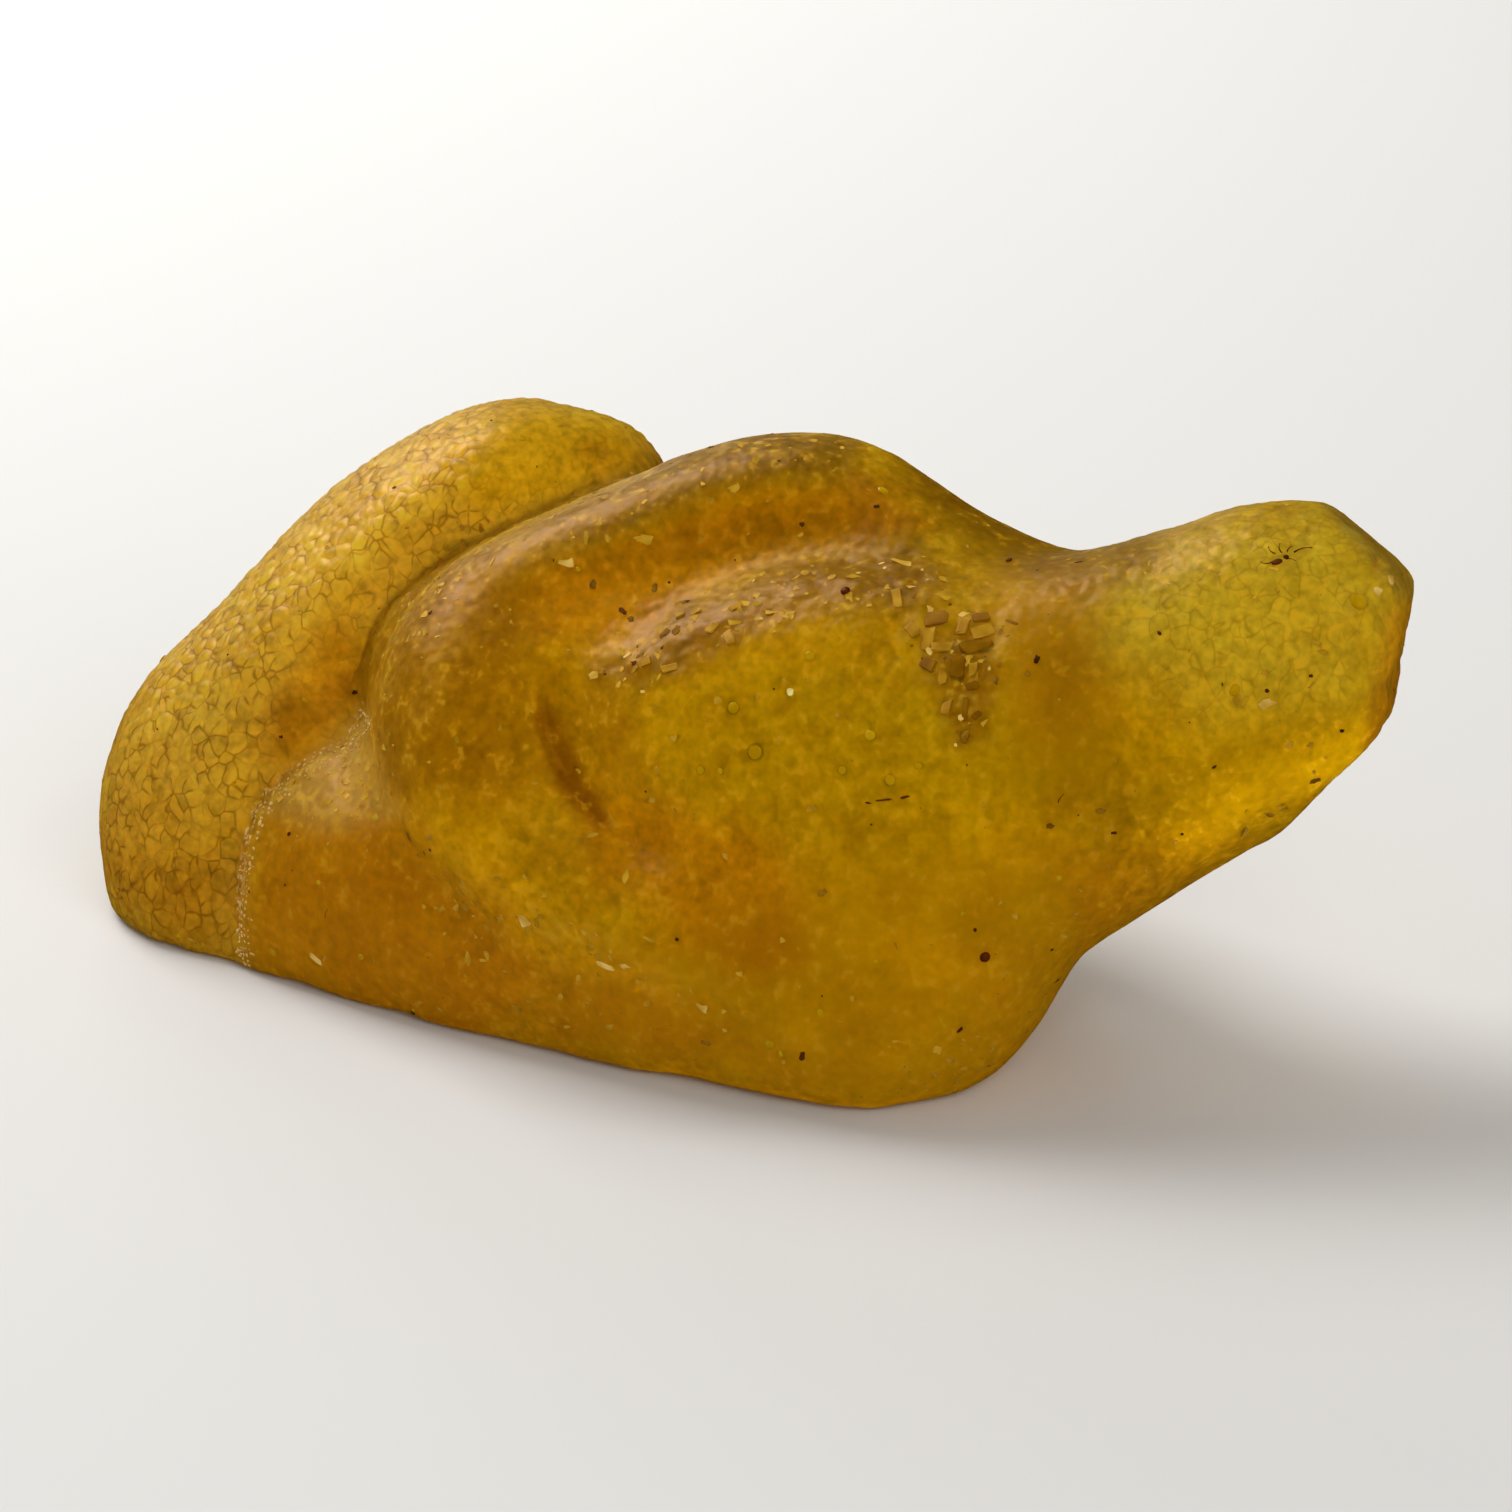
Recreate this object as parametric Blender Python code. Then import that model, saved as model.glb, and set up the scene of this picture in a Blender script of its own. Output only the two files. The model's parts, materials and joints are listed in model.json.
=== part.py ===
"""Raw amber nugget, one grown piece.

The nugget is resin that ran, folded over itself and set, so it is modelled as thick rolls that flow
into each other: a loaf and a base that it lies on, a lobe behind, an outer fold curled round the front,
a tongue inside that fold which runs on into the blunt snout, and rolls that fill the core and the back.

Each roll is a chain of sections, placed as they are seen from the front: across and up on a drawing
plane, and out of it towards the viewer, in millimetres. The drawing plane is turned and leans back,
as the viewer stands to the right and looks down. The rolls are fused, softened, cut flat where the
nugget lies, and chipped at the snout. The origin is under the middle of the nugget, on its flat foot.
"""

import math

import bmesh
import bpy
from mathutils import Vector

MM = 0.001

# Driving dimensions, in millimetres and degrees
VIEW_TURN = 25.0
VIEW_RISE = 24.0
FLOOR_DROP = 2.44
MIDDLE = (-4.47, 6.63)
VOXEL = 0.55
SOFTENING_ROUNDS = 12
TRIANGLES_KEPT = 8800
RING_SIDES = 28
STEPS_BETWEEN = 5
CAP_ANGLES = (25.0, 50.0, 70.0, 84.0)

# Each section: across, up, out, half height, half depth
LOAF = [
    (-20.0, 8.4, -11.2, 5.6, 5.0),
    (-15.5, 8.6, -8.2, 6.2, 6.0),
    (-10.5, 9.2, -5.0, 7.6, 6.9),
    (-5.0, 8.7, -2.7, 8.4, 7.1),
    (0.5, 7.5, 0.0, 8.0, 7.0),
    (4.2, 5.6, 2.2, 6.3, 6.0),
    (6.6, 8.0, 2.4, 5.9, 5.6),
]
BASE = [
    (-19.0, 9.5, -12.5, 5.2, 5.2),
    (-15.5, 12.0, -11.5, 5.6, 6.0),
    (-6.0, 10.6, -7.8, 6.0, 6.6),
    (2.0, 9.2, -4.4, 6.0, 6.6),
    (6.0, 8.6, -2.6, 5.4, 5.8),
]
BACK_LOBE = [
    (-19.7, 4.6, -11.5, 5.0, 5.4),
    (-21.1, 9.6, -11.2, 5.3, 5.4),
    (-20.8, 13.2, -10.6, 5.1, 5.4),
    (-18.0, 16.4, -10.2, 4.9, 5.4),
    (-14.4, 20.1, -9.6, 4.9, 5.4),
    (-11.4, 22.3, -9.2, 4.9, 5.2),
    (-8.6, 23.4, -8.8, 4.8, 5.0),
    (-7.1, 23.6, -8.6, 4.0, 4.2),
]
LOBE_FRONT = [
    (-19.2, 11.5, -9.6, 4.8, 4.6),
    (-15.6, 15.4, -8.6, 5.2, 4.9),
    (-11.8, 18.8, -8.0, 5.2, 4.8),
    (-7.5, 20.8, -7.6, 4.8, 4.4),
]
OUTER_FOLD = [
    (12.8, 18.0, 2.6, 3.0, 3.6),
    (9.8, 18.6, 1.6, 3.4, 3.8),
    (6.4, 20.1, 0.4, 3.5, 4.0),
    (3.2, 22.4, -0.6, 3.5, 4.0),
    (-0.2, 22.4, -1.2, 3.5, 4.0),
    (-4.0, 21.0, -1.6, 3.5, 4.2),
    (-7.5, 19.4, -1.8, 3.6, 4.2),
    (-10.2, 17.6, -1.6, 3.7, 4.2),
    (-11.2, 14.8, -1.2, 3.7, 4.2),
    (-10.6, 11.8, -0.8, 3.6, 4.2),
    (-8.8, 9.2, -0.1, 3.6, 4.2),
    (-5.2, 6.9, 1.0, 3.6, 4.2),
    (-1.5, 5.2, 1.8, 3.4, 4.0),
]
TONGUE_AND_SNOUT = [
    (-6.0, 13.6, 0.2, 3.4, 3.6),
    (-2.4, 14.2, 1.4, 5.8, 4.7),
    (1.4, 14.2, 2.2, 7.3, 5.2),
    (5.2, 13.7, 2.8, 7.9, 5.6),
    (9.0, 13.4, 3.4, 7.9, 5.9),
    (12.8, 14.6, 4.0, 6.9, 5.7),
    (16.5, 16.1, 4.6, 6.2, 5.3),
    (20.1, 17.5, 5.0, 5.9, 4.9),
    (22.6, 18.2, 5.2, 5.2, 4.2),
]
CORE = [
    (-9.3, 15.0, -1.5, 4.8, 4.8),
    (-4.5, 15.6, -0.6, 6.2, 5.0),
    (2.0, 16.0, -0.2, 6.6, 5.2),
    (9.0, 15.4, 1.6, 6.2, 5.2),
]
FRONT_SWELL = [
    (-3.2, 11.6, 1.6, 4.4, 4.2),
    (0.6, 10.4, 2.8, 5.2, 4.6),
    (4.2, 9.6, 3.8, 5.4, 4.6),
    (8.2, 9.4, 4.3, 5.2, 4.4),
]
BACK_ROLL = [
    (-18.5, 11.5, -13.0, 5.0, 4.8),
    (-13.5, 13.5, -12.6, 6.2, 5.2),
    (-7.0, 15.5, -10.4, 7.0, 5.6),
    (0.5, 15.5, -7.0, 7.0, 5.8),
    (8.0, 14.5, -2.5, 5.8, 5.4),
]
ROLLS = (LOAF, BASE, BACK_LOBE, LOBE_FRONT, OUTER_FOLD, TONGUE_AND_SNOUT, CORE, FRONT_SWELL, BACK_ROLL)

# Flat chips at the end of the snout: a point on each, across, up and out, and the way that it faces
CHIPS = [
    ((22.6, 21.9, 5.0), (0.67, 0.72, 0.15)),
    ((23.8, 17.0, 5.0), (0.97, -0.20, 0.15)),
    ((21.5, 12.9, 5.0), (0.71, -0.70, 0.05)),
]
CHIP_BLOCK = 30.0
FLOOR_BLOCK = 120.0


def drawing_axes():
    """The drawing plane's across, up and out directions in the nugget's own frame."""
    turn, rise = math.radians(VIEW_TURN), math.radians(VIEW_RISE)
    across = Vector((math.cos(turn), math.sin(turn), 0.0))
    out = Vector((math.sin(turn) * math.cos(rise), -math.cos(turn) * math.cos(rise), math.sin(rise)))
    return across, out.cross(across), out


ACROSS, UP, OUT = drawing_axes()


def on_drawing(across, up, out):
    """The point of the nugget's frame that lies there on the drawing."""
    return (ACROSS * across + UP * up + OUT * out - Vector((*MIDDLE, FLOOR_DROP))) * MM


def between(before, start, end, after, share):
    """A smooth curve through start and end, as a Catmull-Rom spline runs."""
    return tuple(
        0.5 * (2 * b + (c - a) * share + (2 * a - 5 * b + 4 * c - d) * share**2
               + (3 * b - a - 3 * c + d) * share**3)
        for a, b, c, d in zip(before, start, end, after)
    )


def filled_in(sections):
    """The sections with smooth ones added between them."""
    ends = [sections[0], *sections, sections[-1]]
    made = []
    for i in range(len(sections) - 1):
        for step in range(STEPS_BETWEEN):
            made.append(between(*ends[i:i + 4], step / STEPS_BETWEEN))
    return [*made, sections[-1]]


def ring(bm, centre, along, half_height, half_depth):
    """One oval ring of vertices round a point of the roll, square to its run on the drawing."""
    height_way = OUT.cross(along).normalized()
    depth_way = along.cross(height_way).normalized()
    vertices = []
    for i in range(RING_SIDES):
        angle = 2 * math.pi * i / RING_SIDES
        offset = height_way * math.cos(angle) * half_height + depth_way * math.sin(angle) * half_depth
        vertices.append(bm.verts.new(centre + offset * MM))
    return vertices


def cap_rings(bm, centre, along, half_height, half_depth):
    """Shrinking rings that round off a roll's end, and the vertex at its tip."""
    reach = min(half_height, half_depth) * MM
    rings = [
        ring(bm, centre + along * reach * math.sin(math.radians(angle)), along,
             half_height * math.cos(math.radians(angle)), half_depth * math.cos(math.radians(angle)))
        for angle in CAP_ANGLES
    ]
    return rings, bm.verts.new(centre + along * reach)


def add_roll(bm, sections):
    """One roll as a closed skin of rings with rounded ends."""
    spots = filled_in(sections)
    centres = [on_drawing(*spot[:3]) for spot in spots]
    runs = [
        (centres[min(i + 1, len(centres) - 1)] - centres[max(i - 1, 0)]).normalized()
        for i in range(len(centres))
    ]
    rings = [ring(bm, c, run, *spot[3:]) for c, run, spot in zip(centres, runs, spots)]
    first, first_tip = cap_rings(bm, centres[0], -runs[0], *spots[0][3:])
    last, last_tip = cap_rings(bm, centres[-1], runs[-1], *spots[-1][3:])
    # A ring made looking back along the roll runs the other way round
    turned = [[r[0], *reversed(r[1:])] for r in first]
    skin = [*reversed(turned), *rings, *last]
    for lower, upper in zip(skin, skin[1:]):
        for i in range(RING_SIDES):
            j = (i + 1) % RING_SIDES
            bm.faces.new((lower[i], lower[j], upper[j], upper[i]))
    for edge_ring, tip in ((skin[0], first_tip), (skin[-1], last_tip)):
        for i in range(RING_SIDES):
            bm.faces.new((edge_ring[i], edge_ring[(i + 1) % RING_SIDES], tip))


def add_block(name, centre, facing, size):
    """A cutter: a cube whose one face stands at centre and which lies on the side that it faces."""
    bpy.ops.mesh.primitive_cube_add(size=size)
    block = bpy.context.object
    block.name = name
    block.rotation_euler = facing.to_track_quat("Z", "Y").to_euler()
    block.location = centre + facing.normalized() * size / 2
    block.hide_render = True
    block.display_type = "WIRE"
    return block


def cut(nugget, block):
    """Takes the block out of the nugget."""
    modifier = nugget.modifiers.new(f"cut {block.name}", "BOOLEAN")
    modifier.operation = "DIFFERENCE"
    modifier.object = block


def amber_material():
    """Cloudy honey amber with a dull, weathered skin."""
    material = bpy.data.materials.new("raw amber")
    material.use_nodes = True
    shader = material.node_tree.nodes["Principled BSDF"]
    shader.inputs["Base Color"].default_value = (0.48, 0.22, 0.012, 1.0)
    shader.inputs["Roughness"].default_value = 0.42
    shader.inputs["Metallic"].default_value = 0.0
    shader.inputs["IOR"].default_value = 1.54
    shader.inputs["Transmission Weight"].default_value = 0.6
    return material


def fused_rolls():
    """All the rolls in one object, fused into one skin and softened."""
    bm = bmesh.new()
    for sections in ROLLS:
        add_roll(bm, sections)
    bmesh.ops.recalc_face_normals(bm, faces=bm.faces)
    mesh = bpy.data.meshes.new("amber_nugget")
    bm.to_mesh(mesh)
    bm.free()
    nugget = bpy.data.objects.new("amber_nugget", mesh)
    bpy.context.scene.collection.objects.link(nugget)
    fuse = nugget.modifiers.new("fuse", "REMESH")
    fuse.mode = "VOXEL"
    fuse.voxel_size = VOXEL * MM
    soften = nugget.modifiers.new("soften", "SMOOTH")
    soften.factor = 0.5
    soften.iterations = SOFTENING_ROUNDS
    return nugget


def thin_out(nugget):
    """Merges the finest faces until about the wanted number of triangles is left."""
    bpy.context.view_layer.update()
    shown = nugget.evaluated_get(bpy.context.evaluated_depsgraph_get()).to_mesh()
    shown.calc_loop_triangles()
    thin = nugget.modifiers.new("thin out", "DECIMATE")
    thin.ratio = min(1.0, TRIANGLES_KEPT / len(shown.loop_triangles))


def main():
    for old in list(bpy.data.objects):
        bpy.data.objects.remove(old)
    nugget = fused_rolls()
    nugget.data.materials.append(amber_material())
    cut(nugget, add_block("floor", Vector((0, 0, 0)), Vector((0, 0, -1)), FLOOR_BLOCK * MM))
    for number, (place, facing) in enumerate(CHIPS, 1):
        way = ACROSS * facing[0] + UP * facing[1] + OUT * facing[2]
        cut(nugget, add_block(f"chip_{number}", on_drawing(*place), way, CHIP_BLOCK * MM))
    thin_out(nugget)


main()
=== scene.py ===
"""Raw amber nugget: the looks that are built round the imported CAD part.

The nugget starts as a copy of the CAD solid. It is remeshed finely, worked over with sculpting strokes
(swells, creases, steps, chips, pits), and dressed as cloudy honey amber with a dull, crackled skin.
What is sealed in the resin or caught on it, such as specks, bubbles and bark crumbs, is small pieces of
its own. Strokes and small pieces are placed as they are seen: by a point of a 1512 pixel wide picture,
taken from the front camera or from a second viewpoint behind, and cast on to the skin.
"""

import json
import logging
import math
from dataclasses import dataclass, field
from enum import Enum

import bmesh
import bpy
import numpy as np
from mathutils import Matrix, Vector, noise
from mathutils.bvhtree import BVHTree

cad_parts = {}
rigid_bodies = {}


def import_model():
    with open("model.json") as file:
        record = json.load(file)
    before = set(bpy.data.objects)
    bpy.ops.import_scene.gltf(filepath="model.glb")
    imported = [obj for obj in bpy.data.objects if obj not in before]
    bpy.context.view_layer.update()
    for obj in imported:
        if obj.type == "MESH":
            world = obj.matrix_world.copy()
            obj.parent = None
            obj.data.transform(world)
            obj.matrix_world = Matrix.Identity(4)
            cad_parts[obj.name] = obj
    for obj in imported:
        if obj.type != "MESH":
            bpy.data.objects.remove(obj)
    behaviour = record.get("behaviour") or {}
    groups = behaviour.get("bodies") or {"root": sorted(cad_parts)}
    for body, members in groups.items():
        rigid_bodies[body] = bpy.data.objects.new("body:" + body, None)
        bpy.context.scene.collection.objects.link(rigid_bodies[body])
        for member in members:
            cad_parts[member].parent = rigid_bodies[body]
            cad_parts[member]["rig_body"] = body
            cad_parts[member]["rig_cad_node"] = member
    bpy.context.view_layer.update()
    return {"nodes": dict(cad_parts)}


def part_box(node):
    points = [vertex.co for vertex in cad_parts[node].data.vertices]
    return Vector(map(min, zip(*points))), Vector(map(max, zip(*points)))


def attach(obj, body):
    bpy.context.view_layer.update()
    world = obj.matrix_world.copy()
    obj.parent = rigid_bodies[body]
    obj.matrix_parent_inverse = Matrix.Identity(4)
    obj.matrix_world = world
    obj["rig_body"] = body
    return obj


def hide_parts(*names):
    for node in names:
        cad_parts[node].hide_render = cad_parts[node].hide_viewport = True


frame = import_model()

log = logging.getLogger("amber")

MM = 0.001
PICTURE_SIDE = 1512
PIXEL_MM = 0.038
CAD_NODE = "amber_nugget"
BODY = "root"

TINY = 1e-12
# How squarely the skin faces the eye where a patch begins to show, and where it shows in full
SHOWN = (-0.1, 0.15)
# Skin that faces away by more than this isn't drawn back by a tuck
FAR_SIDE = -0.3
# How well normals agree where a stroke begins to act, and where it acts in full
SAME_SIDE = (-0.1, 0.4)
# How far before or behind a tuck's path the skin may lie, in mm: beyond the first it isn't moved
SAME_DEPTH = (6.0, 4.0)
TUCK_MARGIN = 1.2
WIDEST_TOUCH = 2.2

Spot = tuple[float, float]


def linear(hex_colour: str) -> tuple[float, float, float, float]:
    """The linear colour of an sRGB hex value.

    Args:
        hex_colour: six hex digits, such as "c98f10".
    Returns:
        Red, green, blue and an alpha of 1.
    """
    channels = [int(hex_colour[i:i + 2], 16) / 255 for i in (0, 2, 4)]
    bent = [c / 12.92 if c <= 0.04045 else ((c + 0.055) / 1.055) ** 2.4 for c in channels]
    return (*bent, 1.0)


def ramped(values: np.ndarray, low: float, high: float) -> np.ndarray:
    """A smooth step from 0 at low to 1 at high; it falls where high is the smaller.

    Args:
        values: what is stepped.
        low: the value that gives 0.
        high: the value that gives 1.
    Returns:
        Shares from 0 to 1.
    """
    share = np.clip((values - low) / (high - low), 0.0, 1.0)
    return share * share * (3.0 - 2.0 * share)


def tapering(share: np.ndarray, ends: float) -> np.ndarray:
    """How strongly a stroke touches along its path: it sets in and lets go softly.

    Args:
        share: how far along the path, from 0 to 1.
        ends: the share that setting in and letting go take.
    Returns:
        Strengths from 0 to 1.
    """
    return ramped(share, -0.02, ends) * ramped(share, 1.02, 1.0 - ends)


def curve_through(spots: tuple[Spot, ...], step: float = 5.0) -> list[Spot]:
    """Points along a smooth curve through the spots, about a step apart.

    Args:
        spots: pixels of the picture that the curve passes.
        step: the distance between neighbours, in pixels.
    Returns:
        The points in order.
    """
    if len(spots) == 1:
        return list(spots)
    ends = np.array([spots[0], *spots, spots[-1]], float)
    made: list[Spot] = []
    for a, b, c, d in zip(ends, ends[1:], ends[2:], ends[3:]):
        pieces = max(2, round(float(np.linalg.norm(c - b)) / step))
        for t in np.arange(pieces) / pieces:
            at = 0.5 * (2 * b + (c - a) * t + (2 * a - 5 * b + 4 * c - d) * t**2
                        + (3 * b - a - 3 * c + d) * t**3)
            made.append((float(at[0]), float(at[1])))
    made.append((float(spots[-1][0]), float(spots[-1][1])))
    return made


@dataclass(frozen=True)
class Viewpoint:
    """A camera's place round the nugget, and the picture that it gives."""

    turn: float = 25.0
    rise: float = 24.0
    lens: float = 120.0
    sensor: float = 36.0
    distance: float = 191.5
    clipped: tuple[float, float] = (0.01, 10.0)
    target_up: float = 13.64
    shift: tuple[float, float, float] = (4.47, -6.63, -2.44)

    @property
    def axes(self) -> tuple[Vector, Vector, Vector]:
        """The directions across, up and out of the picture."""
        turn, rise = math.radians(self.turn), math.radians(self.rise)
        across = Vector((math.cos(turn), math.sin(turn), 0.0))
        out = Vector((math.sin(turn) * math.cos(rise), -math.cos(turn) * math.cos(rise), math.sin(rise)))
        return across, out.cross(across), out

    @property
    def target(self) -> Vector:
        """The point in the middle of the picture, in metres."""
        return (self.axes[1] * self.target_up + Vector(self.shift)) * MM

    @property
    def eye(self) -> Vector:
        """Where the camera stands, in metres."""
        return self.target + self.axes[2] * self.distance * MM

    def towards(self, spot: Spot) -> Vector:
        """The direction from the eye through a point of the picture.

        Args:
            spot: pixels from the left and from the top of the picture.
        Returns:
            A unit vector.
        """
        across, up, out = self.axes
        reach = self.sensor / self.lens / PICTURE_SIDE
        half = PICTURE_SIDE / 2
        return (across * (spot[0] - half) * reach - up * (spot[1] - half) * reach - out).normalized()

    def pictured(self, points: np.ndarray) -> np.ndarray:
        """Where points of the nugget are in the picture.

        Args:
            points: rows of x, y and z in metres.
        Returns:
            Rows of pixels from the left and from the top.
        """
        across, up, out = (np.array(axis) for axis in self.axes)
        from_eye = points - np.array(self.eye)
        depth = -(from_eye @ out)
        scale = self.lens / self.sensor * PICTURE_SIDE
        half = PICTURE_SIDE / 2
        return np.stack([
            half + scale * (from_eye @ across) / depth, half - scale * (from_eye @ up) / depth], 1)

    def add_camera(self) -> None:
        """Puts the scene's camera there."""
        camera = bpy.data.objects.new("camera", bpy.data.cameras.new("camera"))
        camera.data.lens = self.lens
        camera.data.sensor_width = self.sensor
        camera.data.clip_start, camera.data.clip_end = self.clipped
        across, up, out = self.axes
        turned = Matrix((across, up, out)).transposed().to_4x4()
        camera.matrix_world = Matrix.Translation(self.eye) @ turned
        bpy.context.scene.collection.objects.link(camera)
        bpy.context.scene.camera = camera


FRONT = Viewpoint()
BEHIND = Viewpoint(turn=205.0, rise=20.0, target_up=10.0, shift=(0.0, 0.0, 0.0))


class Touch(Enum):
    """What a stroke does to the skin under it."""

    SWELL = "a rounded rise, or a dent where its height is below zero"
    CREASE = "a narrow groove with soft lips"
    TUCK = "the skin on the left of the stroke is drawn back from the eye, as behind a fold's edge"


@dataclass(frozen=True)
class Stroke:
    """One pull of the sculpting tool along a path of the picture, sizes in millimetres."""

    name: str
    touch: Touch
    width: float
    height: float
    path: tuple[Spot, ...]
    reach: float = 3.0
    view: Viewpoint = FRONT


@dataclass(frozen=True)
class Patch:
    """An area of the picture with a soft edge, in pixels."""

    name: str
    outline: tuple[Spot, ...]
    edge: float = 30.0
    strength: float = 1.0
    view: Viewpoint = FRONT


class Skin:
    """A piece's mesh as arrays, to be pushed about and to be found by rays."""

    def __init__(self, piece: bpy.types.Object) -> None:
        """Reads the mesh."""
        self.piece = piece
        self.read()

    def read(self) -> None:
        """Takes points and normals from the mesh, and makes the tree that rays search."""
        mesh = self.piece.data
        self.points = read_values(mesh.vertices, "co", 3).reshape(-1, 3)
        self.normals = read_values(mesh.vertex_normals, "vector", 3).reshape(-1, 3)
        self.tree = BVHTree.FromObject(self.piece, bpy.context.evaluated_depsgraph_get())

    def write(self) -> None:
        """Gives the moved points back to the mesh, and reads it anew."""
        self.piece.data.vertices.foreach_set("co", self.points.ravel())
        self.piece.data.update()
        bpy.context.view_layer.update()
        self.read()

    def spot(self, view: Viewpoint, pixel: Spot) -> tuple[Vector, Vector] | None:
        """The point of the skin that shows at a pixel, and its normal, or None beside the nugget."""
        place, normal, _, _ = self.tree.ray_cast(view.eye, view.towards(pixel))
        return None if place is None else (place, normal)

    def traced(self, path: tuple[Spot, ...], view: Viewpoint) -> tuple[np.ndarray, np.ndarray]:
        """The skin's points and normals along a path of the picture.

        Args:
            path: pixels that the path passes.
            view: where it is seen from.
        Returns:
            Rows of points in metres, and rows of unit normals.
        """
        hits = [hit for pixel in curve_through(path) if (hit := self.spot(view, pixel)) is not None]
        return np.array([tuple(p) for p, _ in hits]), np.array([tuple(n) for _, n in hits])

    def facing(self, view: Viewpoint) -> np.ndarray:
        """How squarely each point of the skin faces a viewpoint, from -1 to 1."""
        to_eye = np.array(view.eye) - self.points
        to_eye /= np.linalg.norm(to_eye, axis=1)[:, None]
        return np.einsum("ij,ij->i", self.normals, to_eye)

    def inside(self, patch: Patch) -> np.ndarray:
        """How far each point lies within a patch.

        Args:
            patch: the area and its soft edge.
        Returns:
            Shares from 0 outside to the patch's strength inside, 0 where the skin faces away.
        """
        seen = patch.view.pictured(self.points)
        corners = np.array(patch.outline, float)
        within = np.zeros(len(seen), bool)
        gap = np.full(len(seen), np.inf)
        for start, end in zip(corners, np.roll(corners, -1, 0)):
            side = end - start
            crosses = (start[1] > seen[:, 1]) != (end[1] > seen[:, 1])
            rise = side[1] if side[1] else TINY
            within ^= crosses & (seen[:, 0] < start[0] + side[0] * (seen[:, 1] - start[1]) / rise)
            along = np.clip((seen - start) @ side / (side @ side), 0.0, 1.0)
            gap = np.minimum(gap, np.linalg.norm(seen - start - along[:, None] * side, axis=1))
        signed = np.where(within, gap, -gap)
        faces = ramped(self.facing(patch.view), *SHOWN)
        return ramped(signed, -patch.edge / 2, patch.edge / 2) * faces * patch.strength

    def near(self, path: tuple[Spot, ...], view: Viewpoint, reach: float) -> tuple[np.ndarray, ...]:
        """What lies near a path.

        Args:
            path: pixels that the path passes.
            view: where it is seen from.
            reach: how far from it a point may lie, in millimetres.
        Returns:
            The points' indices, their distance in mm, the share along the path, and how well their
            normals agree with its own.
        """
        line, ways = self.traced(path, view)
        if not len(line):
            return np.zeros(0, int), np.zeros(0), np.zeros(0), np.zeros(0)
        room = reach * MM
        boxed = np.all((self.points > line.min(0) - room) & (self.points < line.max(0) + room), axis=1)
        chosen = np.flatnonzero(boxed)
        gaps = np.linalg.norm(self.points[chosen, None] - line[None], axis=2)
        nearest = gaps.argmin(1)
        gap = gaps[np.arange(len(chosen)), nearest]
        kept = gap < room
        chosen, nearest, gap = chosen[kept], nearest[kept], gap[kept]
        agree = np.einsum("ij,ij->i", self.normals[chosen], ways[nearest])
        share = nearest / max(1, len(line) - 1)
        return chosen, gap / MM, share, ramped(agree, *SAME_SIDE)

    def tuck(self, stroke: Stroke) -> None:
        """Draws the skin on the left of a stroke back along the line of sight, so that the right overlaps it.

        Args:
            stroke: the path, with the drop as its height, its reach, and the lip's softness as its width.
        """
        line = np.array(curve_through(stroke.path))
        depths = [hit[0] if (hit := self.spot(stroke.view, tuple(pixel))) else None for pixel in line]
        kept = [i for i, place in enumerate(depths) if place is not None]
        line, places = line[kept], np.array([tuple(depths[i]) for i in kept])
        seen = stroke.view.pictured(self.points)
        room = stroke.reach / PIXEL_MM * TUCK_MARGIN
        boxed = np.all((seen > line.min(0) - room) & (seen < line.max(0) + room), axis=1)
        chosen = np.flatnonzero(boxed & (self.facing(stroke.view) > FAR_SIDE))
        apart = seen[chosen, None] - line[None]
        gaps = np.linalg.norm(apart, axis=2)
        nearest = gaps.argmin(1)
        rows = np.arange(len(chosen))
        gap = gaps[rows, nearest] * PIXEL_MM
        runs = np.gradient(line, axis=0)
        runs /= np.linalg.norm(runs, axis=1)[:, None] + TINY
        # Pixels count downwards, so the right of a run is its quarter turn clockwise as seen
        rights = np.stack([-runs[:, 1], runs[:, 0]], 1)
        aside = np.einsum("ij,ij->i", apart[rows, nearest], rights[nearest]) * PIXEL_MM
        out = np.array(stroke.view.axes[2])
        deeper = (places[nearest] - self.points[chosen]) @ out / MM
        share = nearest / max(1, len(line) - 1)
        drop = ramped(aside, stroke.width * 0.25, -stroke.width * 0.75) * ramped(gap, stroke.reach, 0.0)
        drop *= ramped(np.abs(deeper), *SAME_DEPTH) * tapering(share, 0.2) * stroke.height
        self.points[chosen] -= out * drop[:, None] * MM

    def pull(self, stroke: Stroke) -> None:
        """Moves the skin as a stroke says.

        Args:
            stroke: the path, the touch and its sizes.
        """
        if stroke.touch is Touch.TUCK:
            self.tuck(stroke)
            return
        reach = max(stroke.width * WIDEST_TOUCH, stroke.reach)
        chosen, gap, share, agree = self.near(stroke.path, stroke.view, reach)
        if not len(chosen):
            log.warning("stroke %s meets no skin", stroke.name)
            return
        tapered = tapering(share, 0.18) if len(stroke.path) > 1 else 1.0
        across = gap / stroke.width
        if stroke.touch is Touch.SWELL:
            shape = np.clip(1.0 - (across / 1.4) ** 2, 0.0, 1.0) ** 2
        else:
            groove, lips = np.exp(-(across**2) * 3.0), np.exp(-((across - 1.3) ** 2) * 4.0)
            shape = 0.3 * lips - groove
        move = shape * stroke.height * tapered * agree
        self.points[chosen] += self.normals[chosen] * move[:, None] * MM


def read_values(items: bpy.types.bpy_prop_collection, name: str, size: int = 1,
                kind: type = float) -> np.ndarray:
    """Reads one property of every item of a mesh.

    Args:
        items: the mesh's vertices, loops or polygons.
        name: the property.
        size: how many numbers it has.
        kind: whether they are floats or whole numbers.
    Returns:
        The numbers in one row.
    """
    values = np.empty(len(items) * size, kind)
    items.foreach_get(name, values)
    return values


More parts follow.
